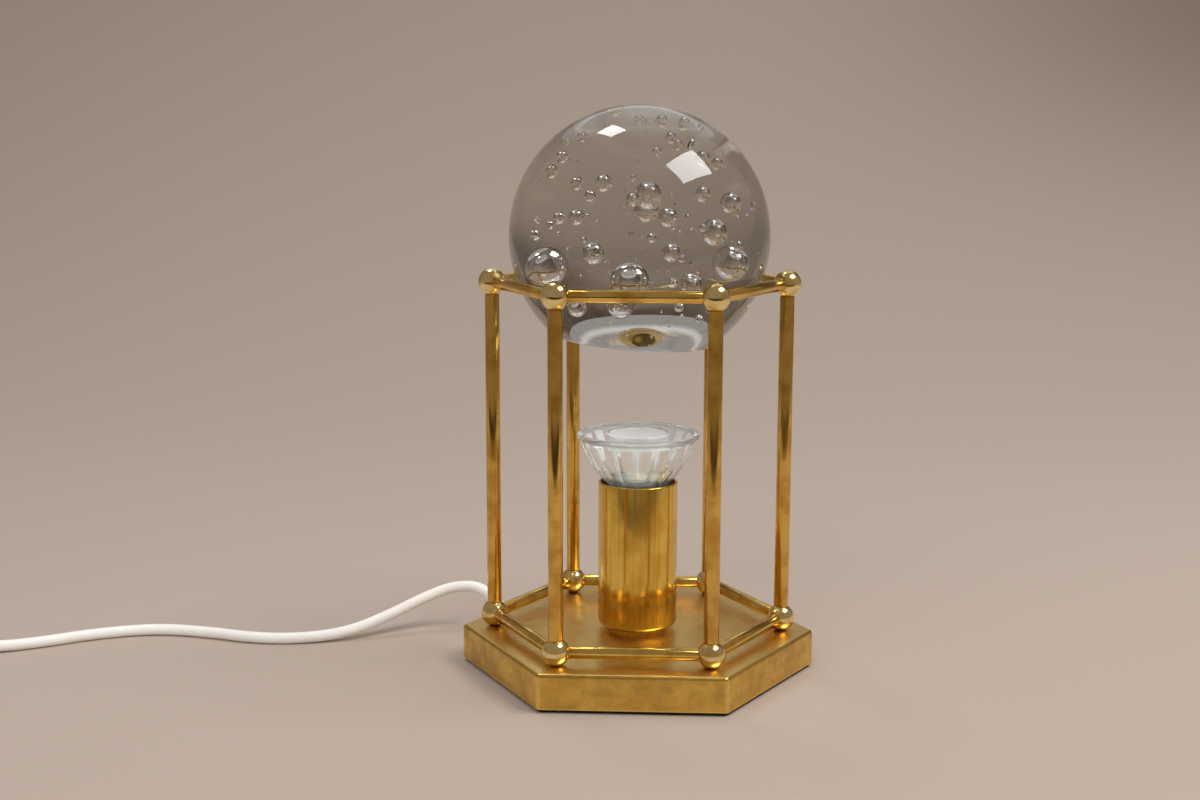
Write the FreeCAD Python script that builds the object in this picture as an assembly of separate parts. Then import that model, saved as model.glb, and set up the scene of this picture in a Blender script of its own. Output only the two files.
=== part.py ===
"""Glass globe table lamp.

A solid glass globe rests in the upper ring of a hexagonal cage of brass rods and balls.
The cage stands on a shallow hexagonal base, and a reflector bulb in a brass cup lights the
globe from below. The white cord leaves the base at the back left.

Millimetres, +Z up. The origin is on the axis of the lamp, in the plane that it stands on.
The cage's corners are at 0, 60, 120 ... degrees from +X, and one flat side faces -Y.
"""
import FreeCAD, Part

import os
from math import cos, hypot, pi, radians, sin, sqrt, tan

V = FreeCAD.Vector
UP = V(0, 0, 1)
DOWN = V(0, 0, -1)

# ---- cage: balls, posts and rails ----
SIDES = 6
ring_r = 59.5            # axis of the lamp to the centre of a ball
ball_r = 6.0
post_r = 2.95
rail_r = 2.5
ring_rise = 137.7        # lower ball centres to upper ball centres
spigot_r = 1.5           # turned end of a rod, in the ball's hole
spigot_len = 2.2
spigot_gap = 0.05        # radial clearance of a spigot
spigot_end_gap = 0.3     # clearance beyond the end of a spigot
pocket_gap = 0.1         # radial clearance of a rod in its spot face
rail_seat = 5.25         # ball centre to the spot face of a rail
post_seat = 5.0          # ball centre to the spot face of a post
ball_foot = 5.65         # ball centre to the flat that stands on the base

# ---- base ----
cover_corner_r = 73.0    # axis to a corner of the base
cover_foot = 1.5         # the brass edge stays this far above the table
cover_top = 15.6
sheet = 1.2              # brass sheet of the cover
cover_edge_r = 1.5       # rounding of the folded upper edge
cover_corner_fillet = 2.2
plate_thick = 3.0
plate_gap = 0.25         # plate to the inside of the cover
pillar_r = 3.5
pillar_ring_r = 50.0
pillar_first = 90.0      # direction of the first pillar, degrees
pillar_count = 3
tapped_r = 1.5           # tapped holes for the small screws
screw_r = 1.45
screw_head_r = 2.7
screw_head_h = 1.9
screw_slot = 0.7         # width and depth of a screw's slot
ball_screw_reach = 4.2   # length in the ball
plate_screw_reach = 6.0  # length in the pillar
hole_gap = 0.15          # radial clearance of a through hole

# ---- cup, nipple and lampholder ----
cup_r = 16.2
cup_wall = 1.0
cup_top = 77.9
cup_rise = 2.0           # cup above the base, on its turned foot
cup_foot_r = 11.5
cup_edge_r = 2.2
nipple_r = 5.0
nipple_bore_r = 3.7
nipple_proud = 2.4       # above the bracket's foot
nipple_drop = 0.9        # below the nut
washer_r = 9.0
washer_thick = 1.0
nut_flats = 14.0
nut_thick = 3.0
bracket_sheet = 1.2
bracket_width = 13.0
bracket_half = 12.2      # axis to the outside of an upright
bracket_tab = 5.6        # length of the turned-in tabs
bracket_bend_r = 1.6
holder_r = 13.0
holder_height = 20.0
holder_edge_r = 1.2
holder_screw_x = 8.6
holder_screw_reach = 5.0

# ---- reflector bulb with twist pins ----
bulb_top = 98.2
bulb_rim_r = 25.0
bulb_rim_thick = 2.5
bulb_height = 47.0       # rim to the underside of its base
bulb_lift = 0.15         # base of the bulb above the lampholder
bowl_rim_r = 23.8        # bowl under the rim
bowl_mid_r = 19.6
bowl_mid_drop = 11.9
bowl_foot_r = 12.4
bowl_foot_drop = 21.8
neck_r = 10.5
neck_drop = 23.6
neck_end_drop = 30.2
glass_wall = 1.3
flutes = 18
flute_r = 3.4            # radius of the flute cutter
flute_depth = 0.55
lens_gap = 0.1
lens_thick = 1.5
lens_sink = 0.5          # lens below the top of the rim
lens_bead_r = 12.6
lens_bead = 0.5
collimator_r = 11.8
collimator_foot_r = 6.2
led_plate_r = 10.6
led_plate_thick = 2.0
led_plate_drop = 18.7    # rim to the top of the module
led_body_r = 8.9
base_collar_r = 12.6
base_mouth_r = 12.0
base_foot_r = 10.6
base_foot_h = 2.4
base_collar_h = 12.0
pin_pitch = 10.0
pin_r = 1.2
pin_len = 7.0
pin_head_r = 2.4
pin_head_h = 2.2
pin_gap = 0.35           # clearance round stems and heads
bulb_turn = 22.0         # degrees from locked to free

# ---- glass globe ----
globe_over = 0.87        # radius of the globe beyond the circle inside the rails' axes
globe_ground = 10.4      # height of glass that is ground away underneath
globe_lean = 4.5         # degrees that the flat is off level
globe_edge = 0.7         # bevel round the flat

# Larger air bubbles: right, back and up of the globe's centre as shares of its radius, then
# the radius of the bubble.
air_bubbles = [
    (0.05, -0.12, 0.23, 4.1),
    (0.02, 0.33, 0.09, 3.0),
    (-0.03, -0.40, 0.25, 2.3),
    (0.14, 0.06, 0.09, 2.7),
    (-0.19, -0.03, 0.28, 2.6),
    (-0.34, -0.08, 0.29, 2.1),
    (-0.32, 0.05, 0.09, 2.2),
    (-0.25, -0.18, -0.08, 3.3),
    (-0.41, 0.31, -0.16, 4.6),
    (-0.47, 0.03, 0.34, 2.2),
    (0.32, 0.09, 0.39, 2.4),
    (0.36, -0.16, 0.25, 2.5),
    (0.42, 0.23, 0.14, 2.7),
    (0.38, 0.04, 0.02, 3.7),
    (0.19, -0.28, -0.07, 2.8),
    (0.40, 0.29, -0.14, 4.2),
    (-0.05, 0.20, -0.23, 4.9),
    (0.28, -0.10, -0.25, 3.3),
    (-0.31, 0.08, -0.36, 2.6),
    (-0.10, -0.34, -0.38, 4.3),
]

# ---- cord ----
cord_r = 2.4
cord_z = 9.0             # height of the cord in the wall of the base
cord_along = 4.0         # exit, measured along its wall from the middle
cord_wall = 150.0        # direction that the wall faces, degrees
bush_gap = 0.05
bush_neck_r = 3.8
bush_flange_r = 5.0
bush_flange = 1.5
block_depth = 10.0       # outside of the wall to the terminal block
block_len = 12.0
block_wide = 17.0
block_tall = 10.0
lead_r = 0.9
lead_offset = 1.5
lead_z = 5.6             # height of the leads under the nipple
lead_hole = 2.0          # depth of a lead in the terminal block

# ---- inline rocker switch ----
switch_start = V(-298.3, -13.1, 0)
switch_heading = 203.3   # degrees from +X
switch_len = 58.0
switch_wide = 25.0
switch_tall = 15.0
switch_split = 7.0       # joint between the two shells
switch_corner_r = 6.0
switch_edge_r = 1.5
switch_neck = 9.0
switch_cord_z = 6.0
rocker_len = 19.2
rocker_wide = 9.0
rocker_low = 2.2         # pivot to the underside
rocker_high = 4.6        # pivot to the top at its ends
rocker_dip = 1.1         # hollow in the middle of the top
rocker_pivot_z = 11.6
rocker_tilt = 8.0        # degrees either side of level
rocker_gap = 0.3
rocker_end_gap = 1.0
pivot_r = 1.2
pivot_len = 1.0
pivot_gap = 0.05

# ---- plug with two round pins ----
plug_start = V(-368.8, 14.95, 0)
plug_heading = 15.0      # degrees from +X
plug_neck = 20.0
plug_len = 36.0
plug_wide = 35.0
plug_tall = 13.7
plug_rear_wide = 13.0
plug_rear_tall = 9.5
plug_waist = 0.45        # share of the length where the shoulders begin
plug_pin_r = 2.0
plug_pin_pitch = 18.6
plug_pin_len = 19.0
plug_pin_root = 6.0

# ---- coil of the put-away cord ----
coil_centre = V(-396.4, -20.9, 0)
coil_mid_r = 26.5
coil_wide = 14.8
coil_tall = 14.0
coil_edge_r = 3.6

# Routes of the cord: straight runs between these points, rounded by arcs.
cord_route = [
    V(-60.4, 39.5, 9.0),
    V(-69.4, 44.8, 18.9),
    V(-83.0, 46.8, 18.6),
    V(-96.2, 41.2, 14.2),
    V(-110.0, 33.2, 8.6),
    V(-124.5, 24.8, 4.0),
    V(-141.0, 18.6, 2.4),
    V(-163.0, 16.0, 2.4),
    V(-188.0, 24.2, 2.4),
    V(-212.0, 27.8, 2.4),
    V(-236.0, 19.2, 2.4),
    V(-256.0, 5.6, 2.4),
    V(-273.0, -3.0, 2.7),
]
switch_lead_in = 12.0    # straight cord before the switch
link_route = [
    V(-366.5, -42.4, 4.0),
]
tail_route = [
    V(-384.5, 11.2, 10.6),
]
link_end = V(-378.6, -47.4, 2.4)
tail_start = V(-394.5, 10.6, 11.4)

# ---- heights and places that follow from the sizes ----
inner_top = cover_top - sheet
lower_z = cover_top + ball_foot
upper_z = lower_z + ring_rise
side_len = 2 * ring_r * sin(pi / SIDES)
ring_in_r = ring_r * cos(pi / SIDES)
cover_flat_r = cover_corner_r * cos(pi / SIDES)
globe_r = ring_in_r + globe_over
globe_flat = globe_r - globe_ground
globe_z = upper_z + sqrt((globe_r + rail_r) ** 2 - ring_in_r ** 2)
bulb_foot = bulb_top - bulb_height
holder_top = bulb_foot - bulb_lift
holder_foot = holder_top - holder_height
cup_low = cover_top + cup_rise
bracket_foot = cup_low + cup_wall
nut_top = inner_top - washer_thick


def polar(radius, angle, z=0.0):
    """Point at a radius and an angle in degrees."""
    return V(radius * cos(radians(angle)), radius * sin(radians(angle)), z)


def rod(radius, start, along, length):
    """Round bar from a point along a direction."""
    return Part.makeCylinder(radius, length, start, along)


def ngon_prism(across_flats_half, z0, z1, sides=SIDES, turn=0.0):
    """Prism on the axis, given half its size across flats."""
    corner = across_flats_half / cos(pi / sides)
    ring = [polar(corner, turn + 360.0 * k / sides, z0) for k in range(sides)]
    face = Part.Face(Part.makePolygon(ring + ring[:1]))
    return face.extrude(V(0, 0, z1 - z0))


def revolved(edges):
    """Solid of revolution about Z from the closed outline of its section in the XZ plane."""
    face = Part.Face(Part.Wire(edges))
    return face.revolve(V(0, 0, 0), UP, 360)


def outline(*points):
    """Straight edges through (radius, z) points of a section."""
    corners = [V(r, 0, z) for r, z in points]
    return [Part.LineSegment(a, b).toShape() for a, b in zip(corners, corners[1:])]


def arc(start, middle, end):
    """Arc through three (radius, z) points of a section."""
    a, b, c = [V(r, 0, z) for r, z in (start, middle, end)]
    return Part.Arc(a, b, c).toShape()


def quarter(start, end, centre):
    """Round corner of a section, from start to end about a centre."""
    radius = hypot(start[0] - centre[0], start[1] - centre[1])
    mid_x = (start[0] + end[0]) / 2 - centre[0]
    mid_z = (start[1] + end[1]) / 2 - centre[1]
    reach = radius / hypot(mid_x, mid_z)
    return arc(start, (centre[0] + mid_x * reach, centre[1] + mid_z * reach), end)


def tube(start, points, end, radius, name):
    """Round cord along straight runs joined by arcs, each as large as its runs allow."""
    corners = [start] + list(points) + [end]
    edges = []
    radii = []
    last = start
    for before, corner, after in zip(corners, corners[1:], corners[2:]):
        inward = (corner - before).normalize()
        outward = (after - corner).normalize()
        half_turn = inward.getAngle(outward) / 2
        cut = 0.45 * min((corner - before).Length, (after - corner).Length)
        bend = cut / tan(half_turn)
        radii.append(round(bend, 1))
        a = corner - inward * cut
        b = corner + outward * cut
        inside = (outward - inward).normalize()
        middle = corner + inside * (bend / cos(half_turn) - bend)
        edges.append(Part.LineSegment(last, a).toShape())
        edges.append(Part.Arc(a, middle, b).toShape())
        last = b
    edges.append(Part.LineSegment(last, end).toShape())
    path = Part.Wire(edges)
    first = (corners[1] - corners[0]).normalize()
    ring = Part.Wire(Part.makeCircle(radius, start, first))
    solid = path.makePipeShell([ring], True, False)
    expected = pi * radius ** 2 * path.Length
    print(name, "length", round(path.Length, 1), "volume ratio", round(solid.Volume / expected, 4))
    print(name, "bend radii", radii)
    return solid


def placed(shape, origin, heading):
    """Moves a shape modelled along +X to its place and heading on the table."""
    shape = shape.copy()
    move = FreeCAD.Placement(origin, FreeCAD.Rotation(UP, heading))
    shape.Placement = move.multiply(shape.Placement)
    return shape


def slotted(screw, centre, z, into):
    """Cuts a driver slot into the head of an upright screw."""
    size = 3 * screw_head_r
    low = z if into > 0 else z - screw_slot
    slot = Part.makeBox(size, screw_slot, screw_slot, centre + V(-size / 2, -screw_slot / 2, low))
    return screw.cut(slot)


# ---------------------------------------------------------------- cage


def drill(ball, centre, along, seat, radius):
    """Spot face and blind spigot hole for one rod that meets a ball."""
    pocket = rod(radius + pocket_gap, centre + along * seat, along, ball_r)
    hole_depth = spigot_len + spigot_end_gap
    hole = rod(spigot_r + spigot_gap, centre + along * (seat - hole_depth), along, ball_r)
    return ball.cut(pocket).cut(hole)


def corner_ball(index, z, post_side):
    """Ball at a corner of the cage, drilled for its two rails and its post."""
    angle = 360.0 * index / SIDES
    centre = polar(ring_r, angle, z)
    ball = Part.makeSphere(ball_r, centre)
    for turn in (90 + 180 / SIDES, -90 - 180 / SIDES):
        ball = drill(ball, centre, polar(1, angle + turn), rail_seat, rail_r)
    return drill(ball, centre, post_side, post_seat, post_r)


def lower_ball(index):
    """Corner ball with a flat underneath, tapped for the screw from the base."""
    ball = corner_ball(index, lower_z, UP)
    foot = polar(ring_r, 360.0 * index / SIDES, cover_top)
    ball = ball.cut(rod(ball_r, foot, DOWN, ball_r))
    return ball.cut(rod(tapped_r, foot, UP, ball_screw_reach + spigot_end_gap))


def turned_rod(start, along, length, radius):
    """Rod between two spot faces, with a turned spigot at each end."""
    bar = rod(radius, start, along, length)
    pin = rod(spigot_r, start - along * spigot_len, along, length + 2 * spigot_len)
    return bar.fuse(pin).removeSplitter()


def rail(index, z):
    """Horizontal rail between two neighbouring balls."""
    a = polar(ring_r, 360.0 * index / SIDES, z)
    b = polar(ring_r, 360.0 * (index + 1) / SIDES, z)
    along = (b - a).normalize()
    return turned_rod(a + along * rail_seat, along, side_len - 2 * rail_seat, rail_r)


def post(index):
    """Upright between a lower and an upper ball."""
    foot = polar(ring_r, 360.0 * index / SIDES, lower_z + post_seat)
    return turned_rod(foot, UP, ring_rise - 2 * post_seat, post_r)


def ball_screws():
    """Screws from inside the base into the lower balls."""
    screws = []
    for index in range(SIDES):
        centre = polar(ring_r, 360.0 * index / SIDES)
        head = rod(screw_head_r, centre + V(0, 0, inner_top - screw_head_h), UP, screw_head_h)
        shank = rod(screw_r, centre + V(0, 0, inner_top - 0.5), UP, sheet + ball_screw_reach + 0.5)
        screw = head.fuse(shank).removeSplitter()
        screws.append(slotted(screw, centre, inner_top - screw_head_h, 1))
    return Part.makeCompound(screws)


# ---------------------------------------------------------------- base


def cord_frame():
    """Point where the cord leaves the wall of the base, and the wall's outward direction."""
    out = polar(1, cord_wall)
    along = polar(1, cord_wall - 90)
    return out * cover_flat_r + along * cord_along + V(0, 0, cord_z), out


def pillar_places():
    """Centres of the pillars that the plate is screwed to."""
    step = 360.0 / pillar_count
    return [polar(pillar_ring_r, pillar_first + step * k) for k in range(pillar_count)]


def upright_edges(shape):
    """Edges of a prism that run parallel to Z."""
    return [e for e in shape.Edges if abs(e.tangentAt(e.FirstParameter).z) > 0.99]


def top_edges(shape, z):
    """Edges of a shape that lie at one height."""
    return [e for e in shape.Edges if e.BoundBox.ZMin > z - 0.01 and e.BoundBox.ZMax < z + 0.01]


def base_cover():
    """Hexagonal tray of brass sheet, upside down, with a rounded upper edge."""
    outer = ngon_prism(cover_flat_r, cover_foot, cover_top)
    outer = outer.makeFillet(cover_corner_fillet, upright_edges(outer))
    outer = outer.makeFillet(cover_edge_r, top_edges(outer, cover_top))
    inner = ngon_prism(cover_flat_r - sheet, cover_foot - 1, inner_top)
    inner = inner.makeFillet(cover_corner_fillet - sheet, upright_edges(inner))
    cover = outer.cut(inner)
    for index in range(SIDES):
        hole = polar(ring_r, 360.0 * index / SIDES, inner_top - 1)
        cover = cover.cut(rod(screw_r + hole_gap, hole, UP, sheet + 2))
    cover = cover.cut(rod(nipple_r + hole_gap, V(0, 0, inner_top - 1), UP, sheet + 2))
    point, out = cord_frame()
    return cover.cut(rod(bush_neck_r, point - out * (sheet + 1), out, sheet + 2))


def bottom_plate():
    """Black board that closes the base, held by countersunk screws."""
    plate = ngon_prism(cover_flat_r - sheet - plate_gap, 0, plate_thick)
    plate = plate.makeFillet(cover_corner_fillet - sheet, upright_edges(plate))
    for place in pillar_places():
        plate = plate.cut(rod(screw_r + hole_gap, place - UP, UP, plate_thick + 2))
        sink = Part.makeCone(screw_head_r + hole_gap, screw_r + hole_gap, screw_head_h, place, UP)
        plate = plate.cut(sink)
    return plate


def cover_pillars():
    """Tapped pillars soldered under the cover."""
    pillars = []
    for place in pillar_places():
        pillar = rod(pillar_r, place + V(0, 0, plate_thick), UP, inner_top - plate_thick)
        bore = rod(tapped_r, place, UP, plate_thick + plate_screw_reach + spigot_end_gap)
        pillars.append(pillar.cut(bore))
    return Part.makeCompound(pillars)


def plate_screws():
    """Countersunk screws that hold the plate to the pillars."""
    screws = []
    for place in pillar_places():
        head = Part.makeCone(screw_head_r, screw_r, screw_head_h, place + V(0, 0, hole_gap), UP)
        shank = rod(screw_r, place + V(0, 0, 1), UP, plate_thick + plate_screw_reach - 1)
        screw = head.fuse(shank).removeSplitter()
        screws.append(slotted(screw, place, hole_gap, 1))
    return Part.makeCompound(screws)


def cord_bush():
    """Flanged bush that lines the cord hole in the wall of the base."""
    point, out = cord_frame()
    inside = point - out * (sheet + bush_flange)
    body = rod(bush_flange_r, point, out, bush_flange)
    body = body.fuse(rod(bush_neck_r, inside, out, sheet + 2 * bush_flange))
    body = body.fuse(rod(bush_flange_r, inside, out, bush_flange))
    bore = rod(cord_r + bush_gap, inside - out, out, sheet + 2 * bush_flange + 2)
    lip = [e for e in body.Edges if abs((e.CenterOfMass - point).dot(out) - bush_flange) < 0.01]
    body = body.makeFillet(bush_flange / 2, lip)
    return body.cut(bore).removeSplitter()


def terminal_block():
    """Terminal block with a cord grip, on the plate inside the base."""
    point, out = cord_frame()
    block = Part.makeBox(block_len, block_wide, block_tall, V(-block_len, -block_wide / 2, 0))
    block = block.makeFillet(1.0, top_edges(block, block_tall))
    for y in (-lead_offset * 3, lead_offset * 3):
        block = block.cut(rod(screw_r, V(-block_len / 2, y, block_tall - 2.5), UP, 4))
    for y in (-lead_offset, lead_offset):
        mouth = V(-block_len - 1, y, lead_z - plate_thick)
        block = block.cut(rod(lead_r * 1.5, mouth, V(1, 0, 0), lead_hole + spigot_end_gap + 1))
    near = point - out * block_depth
    return placed(block, V(near.x, near.y, plate_thick), cord_wall)


# ---------------------------------------------------------------- cup and lampholder


def lamp_cup():
    """Drawn brass cup with a rounded lower edge and a rounded lip, on a smaller turned foot."""
    inner = cup_r - cup_wall
    foot = cup_low
    floor = cup_low + cup_wall
    bend = cup_edge_r - cup_wall
    hole = nipple_r + hole_gap
    lip = cup_wall / 2
    edges = outline((hole, floor), (hole, cover_top), (cup_foot_r, cover_top), (cup_foot_r, foot),
                    (cup_r - cup_edge_r, foot))
    edges.append(quarter((cup_r - cup_edge_r, foot), (cup_r, foot + cup_edge_r),
                         (cup_r - cup_edge_r, foot + cup_edge_r)))
    edges += outline((cup_r, foot + cup_edge_r), (cup_r, cup_top - lip))
    edges.append(arc((cup_r, cup_top - lip), (cup_r - lip, cup_top), (inner, cup_top - lip)))
    edges += outline((inner, cup_top - lip), (inner, floor + bend))
    edges.append(quarter((inner, floor + bend), (inner - bend, floor), (inner - bend, floor + bend)))
    edges += outline((inner - bend, floor), (hole, floor))
    return revolved(edges)


def cup_nipple():
    """Threaded tube that holds the cup and the bracket to the base and carries the leads."""
    low = nut_top - nut_thick - nipple_drop
    high = bracket_foot + bracket_sheet + nipple_proud
    tube_wall = rod(nipple_r, V(0, 0, low), UP, high - low)
    return tube_wall.cut(rod(nipple_bore_r, V(0, 0, low - 1), UP, high - low + 2))


def nipple_nut():
    """Washer and hexagon nut on the nipple, inside the base."""
    washer = rod(washer_r, V(0, 0, nut_top), UP, washer_thick)
    nut = ngon_prism(nut_flats / 2, nut_top - nut_thick, nut_top)
    bore = rod(nipple_r, V(0, 0, nut_top - nut_thick - 1), UP, nut_thick + washer_thick + 2)
    return Part.makeCompound([washer.cut(bore), nut.cut(bore)])


def holder_bracket():
    """Bracket folded from strip: a foot, two uprights and tabs turned in under the holder."""
    low = bracket_foot
    high = holder_foot
    half = bracket_half
    tab = half - bracket_tab
    t = bracket_sheet
    section = [(-half, low), (half, low), (half, high), (tab, high), (tab, high - t),
               (half - t, high - t), (half - t, low + t), (-half + t, low + t),
               (-half + t, high - t), (-tab, high - t), (-tab, high), (-half, high)]
    corners = [V(x, -bracket_width / 2, z) for x, z in section]
    strip = Part.Face(Part.makePolygon(corners + corners[:1])).extrude(V(0, bracket_width, 0))
    bends = [e for e in strip.Edges
             if e.BoundBox.YLength > bracket_width - 0.1 and abs(abs(e.CenterOfMass.x) - half) < 0.01]
    strip = strip.makeFillet(bracket_bend_r, bends)
    strip = strip.cut(rod(nipple_r, V(0, 0, low - 1), UP, t + 2))
    for x in (-holder_screw_x, holder_screw_x):
        strip = strip.cut(rod(screw_r + hole_gap, V(x, 0, high - t - 1), UP, t + 2))
    return strip


def keyway(z0, z1, half_width, from_turn, to_turn):
    """Curved slot at the radius of the pins, with round ends."""
    mid = pin_pitch / 2
    outer = rod(mid + half_width, V(0, 0, z0), UP, z1 - z0)
    ring = outer.cut(rod(mid - half_width, V(0, 0, z0 - 1), UP, z1 - z0 + 2))
    reach = mid + 2 * half_width
    wedge_points = [V(0, 0, z0), polar(reach * 2, from_turn, z0), polar(reach * 2, to_turn, z0)]
    wedge = Part.Face(Part.makePolygon(wedge_points + wedge_points[:1])).extrude(V(0, 0, z1 - z0))
    slot = ring.common(wedge)
    for turn in (from_turn, to_turn):
        slot = slot.fuse(rod(half_width, polar(mid, turn, z0), UP, z1 - z0))
    return slot.removeSplitter()


def lampholder():
    """Ceramic holder with two keyhole slots, chambers for the pin heads and wire wells."""
    body = rod(holder_r, V(0, 0, holder_foot), UP, holder_height)
    body = body.makeFillet(holder_edge_r, top_edges(body, holder_top))
    head_top = bulb_foot - pin_len + pin_head_h + pin_gap
    chamber_foot = bulb_foot - pin_len - pin_gap - 1.0
    for start in (0.0, 180.0):
        stem = keyway(chamber_foot, holder_top + 1, pin_r + pin_gap, start, start + bulb_turn)
        chamber = keyway(chamber_foot, head_top, pin_head_r + pin_gap, start, start + bulb_turn)
        entry = rod(pin_head_r + pin_gap, polar(pin_pitch / 2, start + bulb_turn, head_top - 1),
                    UP, holder_height)
        well = rod(lead_r * 2, polar(pin_pitch / 2, start, holder_foot - 1), UP,
                   contact_low() - holder_foot + 1.2)
        body = body.cut(stem).cut(chamber).cut(entry).cut(well)
    for x in (-holder_screw_x, holder_screw_x):
        body = body.cut(rod(tapped_r, V(x, 0, holder_foot - 1), UP, holder_screw_reach + 1.3))
    return body


def holder_screws():
    """Screws through the bracket's tabs into the holder."""
    screws = []
    low = holder_foot - bracket_sheet
    for x in (-holder_screw_x, holder_screw_x):
        centre = V(x, 0, 0)
        head = rod(screw_head_r - 0.6, centre + V(0, 0, low - screw_head_h), UP, screw_head_h)
        shank = rod(screw_r, centre + V(0, 0, low - 1), UP, bracket_sheet + holder_screw_reach + 1)
        screws.append(slotted(head.fuse(shank).removeSplitter(), centre, low - screw_head_h, 1))
    return Part.makeCompound(screws)


def contact_low():
    """Height of the floor of the pin chambers, where the contacts lie."""
    return bulb_foot - pin_len - pin_gap - 1.0


def holder_contacts():
    """Contact under each pin, with a tail down its well to the lead."""
    contacts = []
    well_top = holder_foot + holder_height / 2 + 0.5
    for start in (0.0, 180.0):
        place = polar(pin_pitch / 2, start)
        pad = rod(pin_head_r - 0.2, place + V(0, 0, contact_low()), UP, 1.0)
        tail = rod(lead_r, place + V(0, 0, well_top - 3), UP, contact_low() - well_top + 3.5)
        contacts.append(pad.fuse(tail).removeSplitter())
    return Part.makeCompound(contacts)


def lamp_leads():
    """Leads from the terminal block up through the nipple to the contacts."""
    point, out = cord_frame()
    across = polar(1, cord_wall - 90)
    leads = []
    top = holder_foot + holder_height / 2 + 0.5 - 3
    for sign, start in ((-1, 180.0), (1, 0.0)):
        shift = across * (sign * lead_offset)
        block_face = point - out * (block_depth + block_len - lead_hole) + shift
        well = polar(pin_pitch / 2, start)
        route = [V(shift.x, shift.y, lead_z), V(well.x * 0.32, 0, bracket_foot + 5.0),
                 V(well.x, well.y, holder_foot - 2.5)]
        leads.append(tube(V(block_face.x, block_face.y, lead_z), route,
                          V(well.x, well.y, top), lead_r, "lamp_lead"))
    return Part.makeCompound(leads)


# ---------------------------------------------------------------- bulb


def bowl_side(inset):
    """Section of the bowl from under the rim down to the neck, moved in by a wall."""
    rim = (bowl_rim_r - inset, bulb_top - bulb_rim_thick)
    mid = (bowl_mid_r - inset, bulb_top - bowl_mid_drop)
    foot = (bowl_foot_r - inset, bulb_top - bowl_foot_drop)
    neck = (neck_r - inset, bulb_top - neck_drop)
    return rim, mid, foot, neck


def bulb_glass():
    """Fluted glass bowl with a thick rim and a neck that is cemented into the base."""
    rim, mid, foot, neck = bowl_side(0)
    rim_in, mid_in, foot_in, neck_in = bowl_side(glass_wall)
    end = bulb_top - neck_end_drop
    rim_low = bulb_top - bulb_rim_thick
    seat_r = bulb_rim_r - glass_wall - 0.5
    seat_z = bulb_top - lens_sink - lens_thick
    half = bulb_rim_thick / 2
    edges = outline((neck[0], end), neck, foot)
    edges.append(arc(foot, mid, rim))
    edges += outline(rim, (bulb_rim_r - half, rim_low))
    edges.append(arc((bulb_rim_r - half, rim_low), (bulb_rim_r, rim_low + half),
                     (bulb_rim_r - half, bulb_top)))
    edges += outline((bulb_rim_r - half, bulb_top), (seat_r, bulb_top), (seat_r, seat_z),
                     (rim_in[0], seat_z), rim_in)
    edges.append(arc(rim_in, mid_in, foot_in))
    edges += outline(foot_in, neck_in, (neck_in[0], end), (neck[0], end))
    glass = revolved(edges)
    low = V(foot[0], 0, foot[1])
    high = V(rim[0], 0, rim[1])
    along = (high - low).normalize()
    outward = V(along.z, 0, -along.x)
    sag = (V(mid[0], 0, mid[1]) - low).dot(outward)
    start = low + along * 2.0 + outward * (sag - flute_depth + flute_r)
    cutter = rod(flute_r, start, along, (high - low).Length - 3.2)
    for k in range(flutes):
        groove = cutter.copy()
        groove.rotate(V(0, 0, 0), UP, 360.0 * (k + 0.5) / flutes)
        glass = glass.cut(groove)
    return glass


def bulb_lens():
    """Front lens and the clear cone that gathers the light, moulded in one piece."""
    high = bulb_top - lens_sink
    low = high - lens_thick
    r = bulb_rim_r - glass_wall - 0.5 - lens_gap
    foot = bulb_top - led_plate_drop
    edges = outline((0, foot), (collimator_foot_r, foot))
    mid_r = collimator_foot_r + 0.62 * (collimator_r - collimator_foot_r)
    mid_z = foot + 0.42 * (low - foot)
    edges.append(arc((collimator_foot_r, foot), (mid_r, mid_z), (collimator_r, low)))
    edges += outline((collimator_r, low), (r, low), (r, high), (lens_bead_r + lens_bead, high))
    edges.append(arc((lens_bead_r + lens_bead, high), (lens_bead_r, high + lens_bead * 0.8),
                     (lens_bead_r - lens_bead, high)))
    edges += outline((lens_bead_r - lens_bead, high), (0, high), (0, foot))
    return revolved(edges)


def bulb_led():
    """Module with the light source: a disc on a ribbed body that fills the neck."""
    top = bulb_top - led_plate_drop
    edges = outline((0, bulb_top - neck_end_drop), (led_body_r, bulb_top - neck_end_drop),
                    (led_body_r, top - led_plate_thick), (led_plate_r, top - led_plate_thick),
                    (led_plate_r, top), (0, top), (0, bulb_top - neck_end_drop))
    return revolved(edges)


def bulb_base():
    """Moulded base that takes the neck of the glass and carries the pins."""
    neck_end = bulb_top - neck_end_drop
    mouth = bulb_top - neck_drop - 0.4
    socket = neck_r + spigot_gap
    shoulder = bulb_foot + base_foot_h
    collar = shoulder + base_collar_h
    edges = outline((0, neck_end), (0, bulb_foot), (base_foot_r, bulb_foot), (base_foot_r, shoulder - 0.6),
                    (base_collar_r - 0.6, shoulder), (base_collar_r, shoulder + 0.8), (base_collar_r, collar),
                    (base_mouth_r, collar + 2.0), (base_mouth_r, mouth), (socket, mouth),
                    (socket, neck_end), (0, neck_end))
    body = revolved(edges)
    for x in (-pin_pitch / 2, pin_pitch / 2):
        body = body.cut(rod(pin_r, V(x, 0, bulb_foot - 1), UP, 5))
    return body


def bulb_pins():
    """Two headed pins that twist and lock in the holder."""
    pins = []
    low = bulb_foot - pin_len
    for x in (-pin_pitch / 2, pin_pitch / 2):
        stem = rod(pin_r, V(x, 0, low + 0.5), UP, pin_len + 3.5)
        head = rod(pin_head_r, V(x, 0, low), UP, pin_head_h)
        pins.append(head.makeFillet(0.5, top_edges(head, low)).fuse(stem).removeSplitter())
    return Part.makeCompound(pins)


# ---------------------------------------------------------------- globe


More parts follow.
